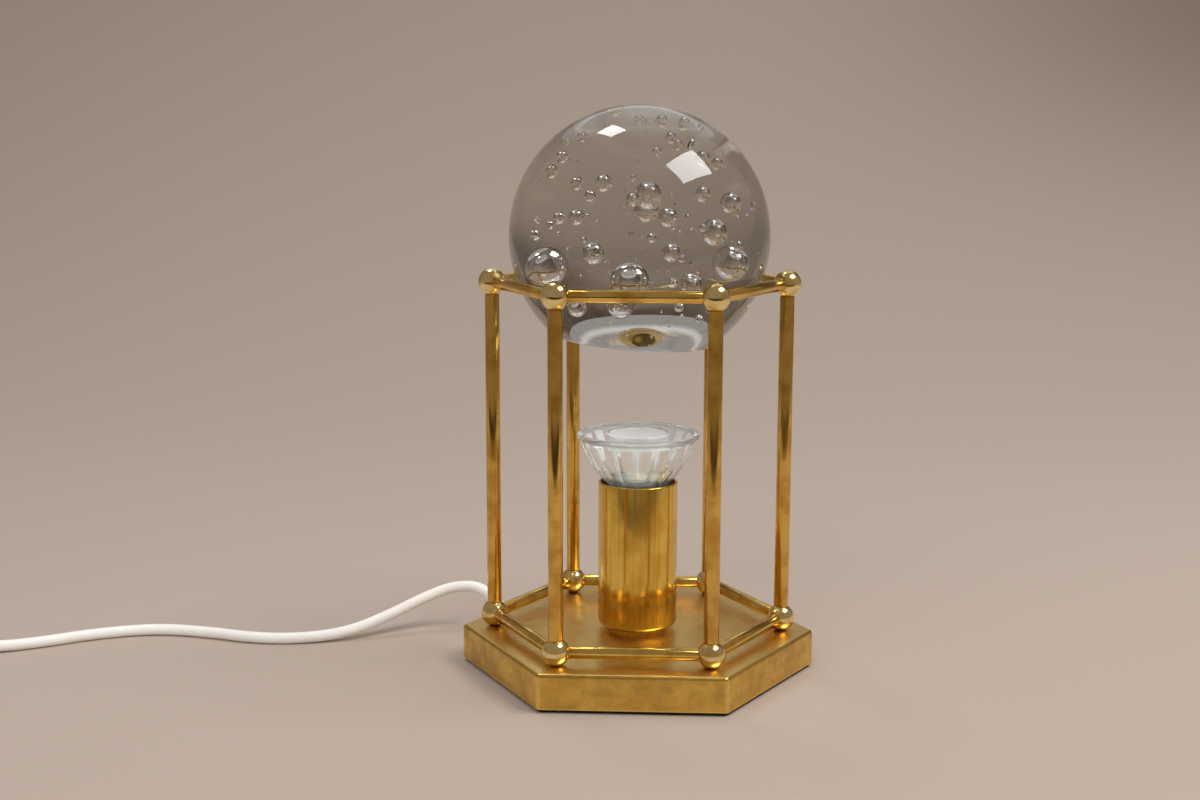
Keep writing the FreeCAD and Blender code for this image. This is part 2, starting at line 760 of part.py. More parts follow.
def glass_globe():
    """Solid glass globe with air bubbles, ground flat underneath and leaning in its ring."""
    centre = V(0, 0, globe_z)
    flat_r = sqrt(globe_r ** 2 - globe_flat ** 2)
    low = globe_z - globe_flat
    rise = globe_edge * 0.6
    wide = sqrt(globe_r ** 2 - (globe_flat - rise) ** 2)
    edges = outline((0, globe_z + globe_r), (0, low), (flat_r - globe_edge, low), (wide, low + rise))
    edges.append(arc((wide, low + rise), (globe_r, globe_z), (0, globe_z + globe_r)))
    globe = revolved(edges)
    globe.rotate(centre, V(0, 1, 0), globe_lean)
    for right, back, up, radius in air_bubbles:
        place = centre + V(right, back, up) * globe_r
        globe = globe.cut(Part.makeSphere(radius, place))
    return globe


# ---------------------------------------------------------------- switch on the cord


def switch_body():
    """Outside of the switch along +X from its near end, necks included."""
    length = switch_len - 2 * switch_neck
    box = Part.makeBox(length, switch_wide, switch_tall, V(switch_neck, -switch_wide / 2, 0))
    box = box.makeFillet(switch_corner_r, upright_edges(box))
    box = box.makeFillet(switch_edge_r, top_edges(box, switch_tall))
    near = Part.makeCone(cord_r + 1.2, switch_cord_z - 1.0, switch_neck + 1, V(0, 0, switch_cord_z), V(1, 0, 0))
    far = Part.makeCone(cord_r + 1.2, switch_cord_z - 1.0, switch_neck + 1,
                        V(switch_len, 0, switch_cord_z), V(-1, 0, 0))
    return box.fuse(near).fuse(far).removeSplitter()


def switch_half(upper):
    """Part of the switch's outside above or below the joint between its shells."""
    low = switch_split if upper else -1
    high = switch_tall + 1 if upper else switch_split
    slab = Part.makeBox(switch_len + 2, switch_wide + 2, high - low, V(-1, -switch_wide / 2 - 1, low))
    return switch_body().common(slab)


def switch_base():
    """Lower shell of the switch."""
    return placed(switch_half(False), switch_start, switch_heading)


def switch_cover():
    """Upper shell with the well and the pivot holes of the rocker."""
    middle = switch_len / 2
    half = rocker_len / 2 + rocker_end_gap
    wide = rocker_wide / 2 + rocker_gap
    shell = switch_half(True)
    well = Part.makeBox(2 * half, 2 * wide, switch_tall, V(middle - half, -wide, switch_split + 0.8))
    shell = shell.cut(well)
    reach = wide + pivot_len
    pivot = rod(pivot_r + pivot_gap, V(middle, -reach, rocker_pivot_z), V(0, 1, 0), 2 * reach)
    return placed(shell.cut(pivot), switch_start, switch_heading)


def switch_rocker():
    """Rocker with a hollow top, tipped to its off side, on two pivot stubs."""
    half = rocker_len / 2
    wide = rocker_wide / 2
    low = rocker_pivot_z - rocker_low
    high = rocker_pivot_z + rocker_high
    foot = half - 1.6
    mid = (high - rocker_dip)
    corners = [V(-foot, -wide, low), V(foot, -wide, low), V(half, -wide, high)]
    edges = [Part.LineSegment(a, b).toShape() for a, b in zip(corners, corners[1:])]
    edges.append(Part.Arc(V(half, -wide, high), V(0, -wide, mid), V(-half, -wide, high)).toShape())
    edges.append(Part.LineSegment(V(-half, -wide, high), corners[0]).toShape())
    body = Part.Face(Part.Wire(edges)).extrude(V(0, rocker_wide, 0))
    stub = wide + rocker_gap + pivot_len - 2 * pivot_gap
    body = body.fuse(rod(pivot_r, V(0, -stub, rocker_pivot_z), V(0, 1, 0), 2 * stub)).removeSplitter()
    body.rotate(V(0, 0, rocker_pivot_z), V(0, 1, 0), rocker_tilt)
    body.translate(V(switch_len / 2, 0, 0))
    return placed(body, switch_start, switch_heading)


# ---------------------------------------------------------------- plug and coil


def plug_section(x, wide, tall, corner):
    """Rounded rectangle across the plug at a distance from its rear."""
    box = Part.makeBox(1, wide, tall, V(x, -wide / 2, plug_tall / 2 - tall / 2))
    edges = [e for e in box.Edges if abs(e.tangentAt(e.FirstParameter).x) > 0.99]
    box = box.makeFillet(corner, edges)
    face = [f for f in box.Faces if abs(f.CenterOfMass.x - x) < 0.01][0]
    return face.OuterWire


def plug_body():
    """Flat moulded plug with shoulders and a tapered neck for the cord."""
    rear = plug_neck
    waist = rear + plug_len * plug_waist
    sections = [plug_section(rear, plug_rear_wide, plug_rear_tall, 3.0),
                plug_section(waist, plug_wide * 0.72, plug_tall * 0.94, 4.0),
                plug_section(rear + plug_len, plug_wide, plug_tall, 4.0)]
    body = Part.makeLoft(sections, True, True)
    neck = Part.makeCone(cord_r + 0.8, plug_rear_tall / 2 - 0.6, plug_neck + 1.5,
                         V(0, 0, plug_tall / 2), V(1, 0, 0))
    body = body.fuse(neck)
    for y in (-plug_pin_pitch / 2, plug_pin_pitch / 2):
        root = V(rear + plug_len - plug_pin_root, y, plug_tall / 2)
        body = body.cut(rod(plug_pin_r, root, V(1, 0, 0), plug_pin_root + 1))
    return placed(body.removeSplitter(), plug_start, plug_heading)


def plug_pins():
    """Two round pins with domed ends."""
    pins = []
    front = plug_neck + plug_len
    for y in (-plug_pin_pitch / 2, plug_pin_pitch / 2):
        pin = rod(plug_pin_r, V(front - plug_pin_root, y, plug_tall / 2), V(1, 0, 0),
                  plug_pin_root + plug_pin_len)
        tip = [e for e in pin.Edges if abs(e.CenterOfMass.x - front - plug_pin_len) < 0.01]
        pins.append(pin.makeFillet(plug_pin_r * 0.6, tip))
    return placed(Part.makeCompound(pins), plug_start, plug_heading)


def cord_coil():
    """Outer shape of the coil that the put-away cord is wound into."""
    inner = coil_mid_r - coil_wide / 2
    section = Part.makePlane(coil_wide, coil_tall, V(inner, 0, coil_tall), V(0, 1, 0), V(1, 0, 0))
    box = section.extrude(V(0, 1, 0))
    edges = [e for e in box.Edges if e.BoundBox.YLength > 0.9]
    box = box.makeFillet(coil_edge_r, edges)
    face = [f for f in box.Faces if abs(f.CenterOfMass.y) < 0.001 and f.BoundBox.YLength < 0.01][0]
    ring = face.revolve(V(0, 0, 0), UP, 360)
    ring.translate(coil_centre)
    return ring


def power_cord():
    """Cord from the terminal block, out of the base and over the table to the switch."""
    point, out = cord_frame()
    start = point - out * block_depth
    end = switch_start + V(0, 0, switch_cord_z)
    last = end - polar(switch_lead_in, switch_heading)
    return tube(start, cord_route + [last], end, cord_r, "power_cord")


def cord_link():
    """Cord from the switch to the coil."""
    end = switch_start + polar(switch_len, switch_heading) + V(0, 0, switch_cord_z)
    first = end + polar(9, switch_heading)
    return tube(end, [first] + link_route, link_end, cord_r, "cord_link")


def cord_tail():
    """Cord from the top of the coil down to the plug."""
    end = plug_start + V(0, 0, plug_tall / 2)
    last = end - polar(6, plug_heading)
    return tube(tail_start, tail_route + [last], end, cord_r, "cord_tail")


# ---------------------------------------------------------------- export


def export(node, shape):
    """Writes one piece to its own file, after checking that it is sound."""
    solids = shape.Solids
    if not shape.isValid() or not solids:
        print("BAD", node)
    if shape.ShapeType == "Solid" or len(solids) > 1:
        shape.exportStep("parts/" + node + ".step")
    else:
        solids[0].exportStep("parts/" + node + ".step")
    print(node, "solids", len(solids), "volume", round(shape.Volume, 1))


def main():
    """Makes every piece of the lamp."""
    os.makedirs("parts", exist_ok=True)
    for k in range(SIDES):
        export("lower_ball_%d" % (k + 1), lower_ball(k))
        export("upper_ball_%d" % (k + 1), corner_ball(k, upper_z, DOWN))
        export("post_%d" % (k + 1), post(k))
        export("lower_rail_%d" % (k + 1), rail(k, lower_z))
        export("upper_rail_%d" % (k + 1), rail(k, upper_z))
    single = [ball_screws, base_cover, bottom_plate, cover_pillars, plate_screws, cord_bush,
              terminal_block, lamp_cup, cup_nipple, nipple_nut, holder_bracket, lampholder,
              holder_screws, holder_contacts, lamp_leads, bulb_glass, bulb_lens, bulb_led,
              bulb_base, bulb_pins, glass_globe, switch_base, switch_cover, switch_rocker,
              plug_body, plug_pins, cord_coil, power_cord, cord_link, cord_tail]
    for make in single:
        export(make.__name__, make())


main()
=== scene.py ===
# %% [markdown]
# # A glass globe on a hexagonal brass cage
#
# The lamp is a solid glass ball full of air bubbles. It rests in a ring of brass rods, and a
# small reflector bulb in a brass cup shines up through it. The construction model is loaded
# first and stays where it is: it says where each piece goes. The scene then dresses it with
# smoother pieces and real finishes.

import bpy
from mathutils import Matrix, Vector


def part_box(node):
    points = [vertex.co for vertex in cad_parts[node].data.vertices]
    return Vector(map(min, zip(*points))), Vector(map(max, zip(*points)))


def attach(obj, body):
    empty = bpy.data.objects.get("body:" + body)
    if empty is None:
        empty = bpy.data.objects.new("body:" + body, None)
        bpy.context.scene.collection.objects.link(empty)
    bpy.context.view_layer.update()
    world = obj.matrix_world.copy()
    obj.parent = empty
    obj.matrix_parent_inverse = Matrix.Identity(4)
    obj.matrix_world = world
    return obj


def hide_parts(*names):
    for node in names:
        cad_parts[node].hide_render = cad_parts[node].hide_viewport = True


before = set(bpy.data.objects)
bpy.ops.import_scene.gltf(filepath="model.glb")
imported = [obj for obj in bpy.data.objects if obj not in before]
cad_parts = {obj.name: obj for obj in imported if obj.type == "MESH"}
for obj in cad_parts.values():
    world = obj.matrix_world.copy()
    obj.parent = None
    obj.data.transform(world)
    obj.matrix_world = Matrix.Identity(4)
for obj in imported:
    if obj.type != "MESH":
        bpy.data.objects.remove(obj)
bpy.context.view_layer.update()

# %% Tools and units
import random
from math import asin, cos, pi, radians, sin, sqrt

import bmesh
import bpy
from mathutils import Matrix, Vector

mm = 0.001
UP = Vector((0, 0, 1))


def level_way(degrees):
    """Level direction at an angle from +X."""
    return Vector((cos(radians(degrees)), sin(radians(degrees)), 0))


# %% [markdown]
# ## The camera
#
# The picture was taken from a little above the base with a longish lens, so upright rods stay
# nearly parallel. A camera can be placed by eye, but here it is described as one would set a
# tripod: a point to aim at, a turn round the lamp, a rise, a distance, and the focal length
# that the width of the picture needs.

# %% Camera
photo_width = 1200
photo_height = 800
focal_px = 1718.1
camera_turn = radians(2.85)
camera_rise = radians(9.75)
camera_roll = radians(0.13)
camera_distance = 699.6 * mm
camera_aim = Vector((-15.63, -0.78, 111.4)) * mm

toward_camera = Vector((sin(camera_turn) * cos(camera_rise),
                        -cos(camera_turn) * cos(camera_rise), sin(camera_rise)))
level_right = Vector((cos(camera_turn), sin(camera_turn), 0))
level_up = toward_camera.cross(level_right)
view_right = level_right * cos(camera_roll) + level_up * sin(camera_roll)
view_up = level_up * cos(camera_roll) - level_right * sin(camera_roll)
camera_place = camera_aim + toward_camera * camera_distance

camera = bpy.data.objects.new("camera", bpy.data.cameras.new("camera"))
camera.data.sensor_width = 36
camera.data.lens = camera.data.sensor_width * focal_px / photo_width
camera.data.clip_start = 0.01
facing = Matrix((view_right, view_up, toward_camera)).transposed().to_4x4()
camera.matrix_world = Matrix.Translation(camera_place) @ facing
bpy.context.scene.collection.objects.link(camera)
bpy.context.scene.camera = camera
bpy.context.scene.view_settings.view_transform = "Standard"
print("lens", round(camera.data.lens, 1), "mm")

# %% [markdown]
# ## Writing finishes as sums
#
# A material is a web of nodes, which is slow to read. Wrapping a socket in a small class lets
# plain arithmetic build the web instead: `1 - mask` adds a Math node set to subtract. All other
# nodes come from one method, which sets a node up first and then fills or links its sockets.

# %% Sockets that can be added and multiplied
class Channel:
    """The value that comes out of a node. Sums with it add Math nodes."""

    def __init__(self, web, socket):
        self.web = web
        self.socket = socket

    def math(self, operation, other):
        return self.web.node("Math", {"operation": operation}, {0: self, 1: other})

    def reflected(self, operation, other):
        return self.web.node("Math", {"operation": operation}, {0: other, 1: self})

    def __add__(self, other):
        return self.math("ADD", other)

    def __radd__(self, other):
        return self.reflected("ADD", other)

    def __sub__(self, other):
        return self.math("SUBTRACT", other)

    def __rsub__(self, other):
        return self.reflected("SUBTRACT", other)

    def __mul__(self, other):
        return self.math("MULTIPLY", other)

    def __rmul__(self, other):
        return self.reflected("MULTIPLY", other)

    def __truediv__(self, other):
        return self.math("DIVIDE", other)

    def __abs__(self):
        return self.math("ABSOLUTE", 0)

    def fraction(self):
        return self.math("FRACT", 0)

    def larger(self, other):
        return self.math("MAXIMUM", other)

    def ramp(self, low, high):
        """0 below low, 1 above high, smooth between."""
        return self.web.node("MapRange", {"interpolation_type": "SMOOTHSTEP"},
                             {"Value": self, "From Min": low, "From Max": high})


# %% A web of nodes
class Web:
    """An empty tree of nodes that is filled node by node."""

    def __init__(self, tree):
        self.tree = tree
        tree.nodes.clear()

    def node(self, kind, settings=None, sockets=None, output=0):
        """Adds a node: its settings first, then the values or links of its sockets."""
        node = self.tree.nodes.new("ShaderNode" + kind)
        for name, value in (settings or {}).items():
            setattr(node, name, value)
        for name, value in (sockets or {}).items():
            if isinstance(value, Channel):
                self.tree.links.new(value.socket, node.inputs[name])
            else:
                node.inputs[name].default_value = value
        return Channel(self, node.outputs[output]) if node.outputs else None


# %% A finish
class Finish(Web):
    """A material and what its sums are made of."""

    def __init__(self, name):
        self.material = bpy.data.materials.new(name + "_finish")
        self.material.use_nodes = True
        super().__init__(self.material.node_tree)

    def where(self):
        """Place on the piece, in metres."""
        return self.node("TexCoord", output="Object")

    def along(self, direction):
        """Distance along a direction."""
        return self.vector("DOT_PRODUCT", self.where(), direction, "Value")

    def noise(self, size, detail=3.0, stretch=(1, 1, 1), roughness=0.5):
        """Soft noise from 0 to 1 with spots of about this size, drawn out by stretch."""
        scale = tuple(1 / s for s in stretch)
        place = self.node("Mapping", None, {0: self.where(), "Scale": scale})
        return self.node("TexNoise", None, {"Vector": place, "Scale": 1 / size, "Detail": detail,
                                            "Roughness": roughness}, output="Fac")

    def mix(self, share, one, two):
        """Colour between two colours."""
        return self.node("Mix", {"data_type": "RGBA"}, {0: share, 6: one, 7: two}, output=2)

    def bump(self, height, depth):
        """Normal of a surface that is raised by height times depth."""
        return self.node("Bump", None, {"Height": height, "Distance": depth})

    def vector(self, operation, one, two=(0, 0, 0), output=0):
        return self.node("VectorMath", {"operation": operation}, {0: one, 1: two}, output)

    def length(self, vector):
        return self.vector("LENGTH", vector, output="Value")

    def clear_shadow(self, shader, share):
        """Wires a glass to the output and lets a share of the light pass straight through it."""
        rays = self.node("LightPath", output="Is Shadow Ray")
        gap = self.node("BsdfTransparent", None, {"Color": (share, share, share, 1.0)})
        both = self.node("MixShader", None, {0: rays, 1: shader, 2: gap})
        self.node("OutputMaterial", None, {"Surface": both})
        return self.material

    def skin(self, sockets):
        """Main shader, wired to the output."""
        shader = self.node("BsdfPrincipled", None, sockets)
        self.node("OutputMaterial", None, {"Surface": shader})
        return self.material


def tint(red, green, blue):
    """Colour of a paint chip, 0 to 255, as linear light."""
    def light(level):
        share = level / 255
        return share / 12.92 if share <= 0.04045 else ((share + 0.055) / 1.055) ** 2.4
    return (light(red), light(green), light(blue), 1.0)


# %% [markdown]
# ## Brass, three ways
#
# All the brass is one metal, but it has aged differently. Rods and balls are handled and stay
# bright; the cup is drawn and has faint upright streaks; the base is a tray that has gone brown
# and cloudy, with bright metal where its edges are rubbed. Each finish mixes a clean and a
# tarnished colour by noise, and the same noise dulls the shine, as tarnish does.

# %% Bright brass of the cage
def bright_brass(name, light, dull, grain, cloud_size):
    """Polished brass with soft tarnish clouds, fine polishing lines and small dark specks."""
    brass = Finish(name)
    clouds = brass.noise(cloud_size, 4).ramp(0.38, 0.72)
    lines = brass.noise(0.5 * mm, 2, grain)
    specks = brass.noise(0.9 * mm, 2).ramp(0.70, 0.78)
    colour = brass.mix(clouds, light, dull)
    colour = brass.mix(specks * 0.6, colour, tint(92, 66, 30))
    roughness = 0.09 + clouds * 0.10 + lines * 0.06 + specks * 0.2
    return brass.skin({"Base Color": colour, "Metallic": 1.0, "Roughness": roughness,
                       "Normal": brass.bump(lines, 0.02 * mm)})


ball_brass = bright_brass("brass_polished", tint(252, 230, 166), tint(228, 192, 118),
                          (1, 1, 1), 5 * mm)
post_brass = bright_brass("brass_posts", tint(234, 192, 100), tint(204, 156, 70),
                          (1, 1, 30), 9 * mm)
rail_brass = bright_brass("brass_rails", tint(240, 204, 116), tint(210, 166, 78),
                          (3, 3, 1), 9 * mm)
print("bright brass for balls, posts and rails")

# %% Streaked brass of the cup
def streaked_brass():
    """Drawn brass with soft clouds and brown upright streaks."""
    brass = Finish("brass_cup")
    streaks = brass.noise(1.6 * mm, 3, (1, 1, 40))
    clouds = brass.noise(9 * mm, 4).ramp(0.35, 0.75)
    colour = brass.mix(clouds, tint(246, 208, 104), tint(226, 182, 72))
    colour = brass.mix(streaks.ramp(0.45, 0.7) * 0.35, colour, tint(168, 114, 38))
    roughness = 0.11 + clouds * 0.07 + streaks * 0.07
    return brass.skin({"Base Color": colour, "Metallic": 1.0, "Roughness": roughness,
                       "Normal": brass.bump(streaks, 0.03 * mm)})


cup_brass = streaked_brass()

# %% Aged brass of the base
base_low, base_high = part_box("base_cover")
base_top = base_high.z
base_flat_r = base_high.y
base_corner_r = base_high.x
side_ways = [level_way(angle) for angle in (30, 90, 150)]


def aged_brass():
    """Brown, cloudy brass with rubbed edges, small pits and a painted highlight on the top face.
    """
    brass = Finish("brass_aged")
    reach = abs(brass.along(side_ways[0]))
    for way in side_ways[1:]:
        reach = reach.larger(abs(brass.along(way)))
    height = brass.along((0, 0, 1))
    ragged = brass.noise(1.2 * mm, 4)
    edge = reach + height + ragged * (0.9 * mm)
    upper_edge = edge.ramp(base_flat_r + base_top - 0.6 * mm, base_flat_r + base_top + 0.1 * mm)
    flat = brass.vector("MULTIPLY", brass.where(), (1, 1, 0))
    reach_out = brass.length(flat) + ragged * (0.8 * mm)
    corner = reach_out.ramp(base_corner_r - 0.1 * mm, base_corner_r + 0.5 * mm)
    lower_edge = 1 - (height - ragged * (0.8 * mm)).ramp(1.3 * mm, 1.9 * mm)
    rubbed = upper_edge.larger(corner).larger(lower_edge)
    clouds = brass.noise(14 * mm, 5, (1, 1, 1), 0.6).ramp(0.32, 0.70)
    fog = brass.noise(5 * mm, 4, (1.6, 1.6, 1)).ramp(0.40, 0.75)
    pits = brass.noise(0.7 * mm, 2).ramp(0.71, 0.76)
    colour = brass.mix(clouds, tint(238, 198, 98), tint(206, 164, 74))
    colour = brass.mix(fog * 0.5, colour, tint(178, 144, 84))
    # painted highlight: the top face is mixed towards pale brass for the light it catches
    upper = height.ramp(base_top - 0.3 * mm, base_top - 0.1 * mm)
    colour = brass.mix(upper * 0.65, colour, tint(252, 222, 142))
    colour = brass.mix(rubbed * 0.7, colour, tint(246, 214, 140))
    colour = brass.mix(pits * 0.7, colour, tint(80, 58, 34))
    roughness = 0.27 + clouds * 0.06 + fog * 0.08 + pits * 0.3 - rubbed * 0.04
    relief = ragged * 0.12 - pits
    return brass.skin({"Base Color": colour, "Metallic": 1.0, "Roughness": roughness,
                       "Normal": brass.bump(relief, 0.03 * mm)})


base_brass = aged_brass()

# %% [markdown]
# ## Glass
#
# Clear glass needs almost nothing but its refraction: the picture comes from what bends inside
# it. Where a mask says so, a milky shader is mixed in: faintly on the globe's ground flat and
# the bulb, satiny in the cone of the lens, and as painted light in the pale rings on the flat
# and the bright bars on the bulb's flutes, which stand in for what the glass bends and mirrors.
# The globe's glass is tinted grey as well, painted shade that darkens all that shows through it.
# The bubbles are holes in the glass. A hole bends light the other way round, so their surface
# has the inverse index.
# All the glass lets lamp light straight through, because a bent path to a lamp is hardly ever
# found, and what stands behind the glass would be black.

# %% Glass finishes
glass_index = 1.5


def bubble_wall():
    """Inside wall of a hole in glass."""
    glass = Finish("air_in_glass")
    shader = glass.node("BsdfGlass", None, {"Color": (1, 1, 1, 1), "Roughness": 0.0,
                                            "IOR": 1 / glass_index})
    return glass.clear_shadow(shader, 1.0)


def milky_glass(glass, white_share, colour, roughness, white, white_roughness, through_light):
    """Clear glass with a white shader mixed in by a share, which also carries painted light."""
    clear = glass.node("BsdfPrincipled", None, {"Base Color": colour, "Roughness": roughness,
                                                "IOR": glass_index, "Transmission Weight": 1.0})
    cloudy = glass.node("BsdfPrincipled", None, {"Base Color": white,
                                                 "Roughness": white_roughness})
    both = glass.node("MixShader", None, {0: white_share, 1: clear, 2: cloudy})
    return glass.clear_shadow(both, through_light)


def ground_glass_with_painted_rings(name, centre, axis, flat_low, rings):
    """Clear glass whose flat is ground faintly milky, with pale rings painted on as painted
    light.
    """
    glass = Finish(name)
    offset = glass.vector("SUBTRACT", glass.where(), centre)
    depth = glass.vector("DOT_PRODUCT", offset, axis, "Value")
    radius = glass.length(glass.vector("CROSS_PRODUCT", offset, axis))
    on_flat = depth.ramp(flat_low - 0.15 * mm, flat_low - 0.05 * mm)
    white_share = 0.10
    # painted light: each ring adds a pale milky band that stands in for the bright rings the
    # globe bends into its foot
    for ring, width, share in rings:
        white_share = white_share + (1 - abs(radius - ring).ramp(width * 0.3, width)) * share
    white_share = white_share * on_flat
    # painted shade: the grey tint of the clear glass darkens all that shows through the globe
    return milky_glass(glass, white_share, tint(192, 189, 182), on_flat * 0.12,
                       tint(238, 240, 238), 0.7, 0.86)


def satin_and_highlight_glass(name, colour, place_of_satin_and_highlight):
    """Pressed glass made white by a mask: satiny in the lens, painted highlights on the flutes.
    """
    glass = Finish(name)
    smears = glass.noise(6 * mm, 3).ramp(0.4, 0.8)
    # white share: satiny in the lens cone, painted highlights on the bowl's flutes
    satin_and_highlight = place_of_satin_and_highlight(glass) + smears * 0.04
    return milky_glass(glass, satin_and_highlight, colour, 0.01 + smears * 0.03,
                       tint(252, 253, 253), 0.3, 0.97)


air_in_glass = bubble_wall()
print("glass finishes with index", glass_index)

# %% [markdown]
# ## Plain finishes
#
# The rest is moulded plastic, ceramic, steel and a painted board. Each one still varies a
# little: a moulding has a fine skin, a turned part has rings, a board has dust and flecks.

# %% Moulded, turned and painted surfaces
def moulded(name, colour, shade, roughness, skin_size=0.25 * mm, relief=0.012 * mm):
    """Moulded surface with a fine skin and slightly uneven colour."""
    plastic = Finish(name)
    patches = plastic.noise(7 * mm, 3).ramp(0.3, 0.7)
    skin = plastic.noise(skin_size, 2)
    return plastic.skin({"Base Color": plastic.mix(patches, colour, shade),
                         "Roughness": roughness + patches * 0.08 + skin * 0.05,
                         "Normal": plastic.bump(skin, relief)})


def turned_metal(name, colour, shade, roughness):
    """Machined or plated metal with fine turning marks."""
    metal = Finish(name)
    marks = metal.noise(0.4 * mm, 2, (12, 12, 1))
    patches = metal.noise(4 * mm, 3).ramp(0.35, 0.7)
    return metal.skin({"Base Color": metal.mix(patches, colour, shade), "Metallic": 1.0,
                       "Roughness": roughness + marks * 0.12,
                       "Normal": metal.bump(marks, 0.01 * mm)})


def painted_board():
    """Black board with pale flecks of dust and fibres, darkened further as painted shade."""
    board = Finish("board_black")
    flecks = board.noise(0.8 * mm, 3, (2.5, 1, 1)).ramp(0.64, 0.70)
    clouds = board.noise(6 * mm, 3)
    # partly painted shade: the black is darker than paint, for the shade in the gap under the
    # base
    colour = board.mix(clouds, tint(8, 7, 6), tint(20, 17, 15))
    colour = board.mix(flecks * 0.5, colour, tint(110, 98, 84))
    return board.skin({"Base Color": colour, "Roughness": 0.55 + clouds * 0.25,
                       "Normal": board.bump(clouds, 0.05 * mm)})


def cord_sheath():
    """White vinyl with a soft sheen, a little yellowed."""
    vinyl = Finish("cord_pvc")
    patches = vinyl.noise(30 * mm, 3).ramp(0.35, 0.7)
    grime = vinyl.noise(3 * mm, 4).ramp(0.55, 0.8)
    colour = vinyl.mix(patches, tint(253, 252, 248), tint(250, 247, 240))
    colour = vinyl.mix(grime * 0.2, colour, tint(216, 207, 190))
    return vinyl.skin({"Base Color": colour, "Roughness": 0.38 + patches * 0.1,
                       "Subsurface Weight": 0.1, "Subsurface Scale": 0.8 * mm,
                       "Normal": vinyl.bump(vinyl.noise(0.6 * mm, 2), 0.01 * mm)})


moulded_looks = {
    "plastic_black": (tint(26, 26, 27), tint(36, 35, 34), 0.38),
    "plastic_clear": (tint(222, 220, 210), tint(204, 202, 192), 0.22),
    "ceramic": (tint(238, 234, 224), tint(226, 219, 204), 0.45, 0.5 * mm, 0.02 * mm),
    "lead_sleeve": (tint(214, 206, 188), tint(190, 180, 160), 0.5),
    "module_grey": (tint(150, 153, 150), tint(128, 131, 129), 0.25),
    "plastic_white": (tint(242, 240, 234), tint(235, 231, 222), 0.3),
}
metal_looks = {
    "steel_zinc": (tint(196, 196, 190), tint(168, 166, 158), 0.28),
    "brass_plain": (tint(222, 178, 92), tint(190, 142, 66), 0.24),
    "nickel": (tint(214, 208, 196), tint(190, 182, 168), 0.16),
}
plain_finishes = {name: moulded(name, *look) for name, look in moulded_looks.items()}
plain_finishes |= {name: turned_metal(name, *look) for name, look in metal_looks.items()}
plain_finishes |= {"board_black": painted_board(), "cord_pvc": cord_sheath()}
print("plain finishes", ", ".join(plain_finishes))

# %% [markdown]
# ## From a bmesh to a piece
#
# Every new piece ends the same way: its mesh becomes an object at the origin, is shaded smooth
# with hard edges kept sharp, rides on the body that carries it, and stands in for its
# construction shape. Two steps come back in many pieces and get helpers: rounding with a
# bevel, and picking out what an operator has just made.

# %% Small bmesh helpers
def round_off(bm, geom, size, segments, affect="EDGES"):
    """Rounds edges or corners with a bevel."""
    bmesh.ops.bevel(bm, geom=geom, affect=affect, offset=size, segments=segments, profile=0.5,
                    material=-1)


def made(result, kind):
    """The vertices or edges that an operator made."""
    return [part for part in result if isinstance(part, kind)]


# %% Finish a piece
def object_of(name, bm, finish):
    """Object at the origin with the mesh of a bmesh and one finish."""
    mesh = bpy.data.meshes.new(name)
    bm.to_mesh(mesh)
    bm.free()
    mesh.materials.append(finish)
    thing = bpy.data.objects.new(name, mesh)
    bpy.context.scene.collection.objects.link(thing)
    return thing


def add_piece(name, bm, finish, body, nodes=(), crease=35):
    """Makes an object of a bmesh, rides it on a body and lets it stand for model pieces."""
    piece = object_of(name, bm, finish)
    piece.data.shade_smooth()
    piece.data.set_sharp_from_angle(angle=radians(crease))
    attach(piece, body)
    if nodes:
        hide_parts(*nodes)
    return piece


def middle(node):
    """Centre of a model piece's box."""
    low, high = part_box(node)
    return (low + high) / 2


# %% [markdown]
# ## The balls
#
# Each corner of the cage is a turned brass ball. A sphere made of rings and segments gives
# clean highlights. A lower ball stands on the base, so it is cut flat underneath with a plane
# and the cut is filled.

# %% Balls
corners = range(1, 7)
ball_r = (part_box("upper_ball_1")[1].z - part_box("upper_ball_1")[0].z) / 2


def ball_centre(kind, k):
    """Centre of a ball of the upper or lower ring."""
    ball = middle("upper_ball_%d" % k)
    return Vector((ball.x, ball.y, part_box("%s_ball_%d" % (kind, k))[1].z - ball_r))


def ball_shape(centre):
    """Smooth sphere about a centre."""
    bm = bmesh.new()
    bmesh.ops.create_uvsphere(bm, u_segments=56, v_segments=36, radius=ball_r,
                              matrix=Matrix.Translation(centre))
    return bm


def cut_flat(bm, point, outward):
    """Cuts a shape off at a plane and closes the cut."""
    cut = bmesh.ops.bisect_plane(bm, geom=bm.verts[:] + bm.edges[:] + bm.faces[:], dist=1e-6,
                                 plane_co=point, plane_no=outward, clear_outer=True)
    bmesh.ops.contextual_create(bm, geom=made(cut["geom_cut"], bmesh.types.BMEdge))


for k in corners:
    for kind in ("upper", "lower"):
        node = "%s_ball_%d" % (kind, k)
        bm = ball_shape(ball_centre(kind, k))
        if kind == "lower":
            cut_flat(bm, UP * base_top, -UP)
        add_piece(node + "_turned", bm, ball_brass, "lamp", [node])
print("balls", 2 * len(corners), "radius", round(ball_r / mm, 2), "mm")

# %% [markdown]
# ## The rods
#
# Posts and rails are lengths of round bar that go a little way into the balls. A cylinder is
# laid between two ball centres, its ends are softened with a small bevel, and it stops inside
# the balls, where the real ones have turned pins.

# %% Rods
post_r = (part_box("post_1")[1].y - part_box("post_1")[0].y) / 2
rail_r = (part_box("upper_rail_1")[1].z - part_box("upper_rail_1")[0].z) / 2
rod_entry = 5.0 * mm


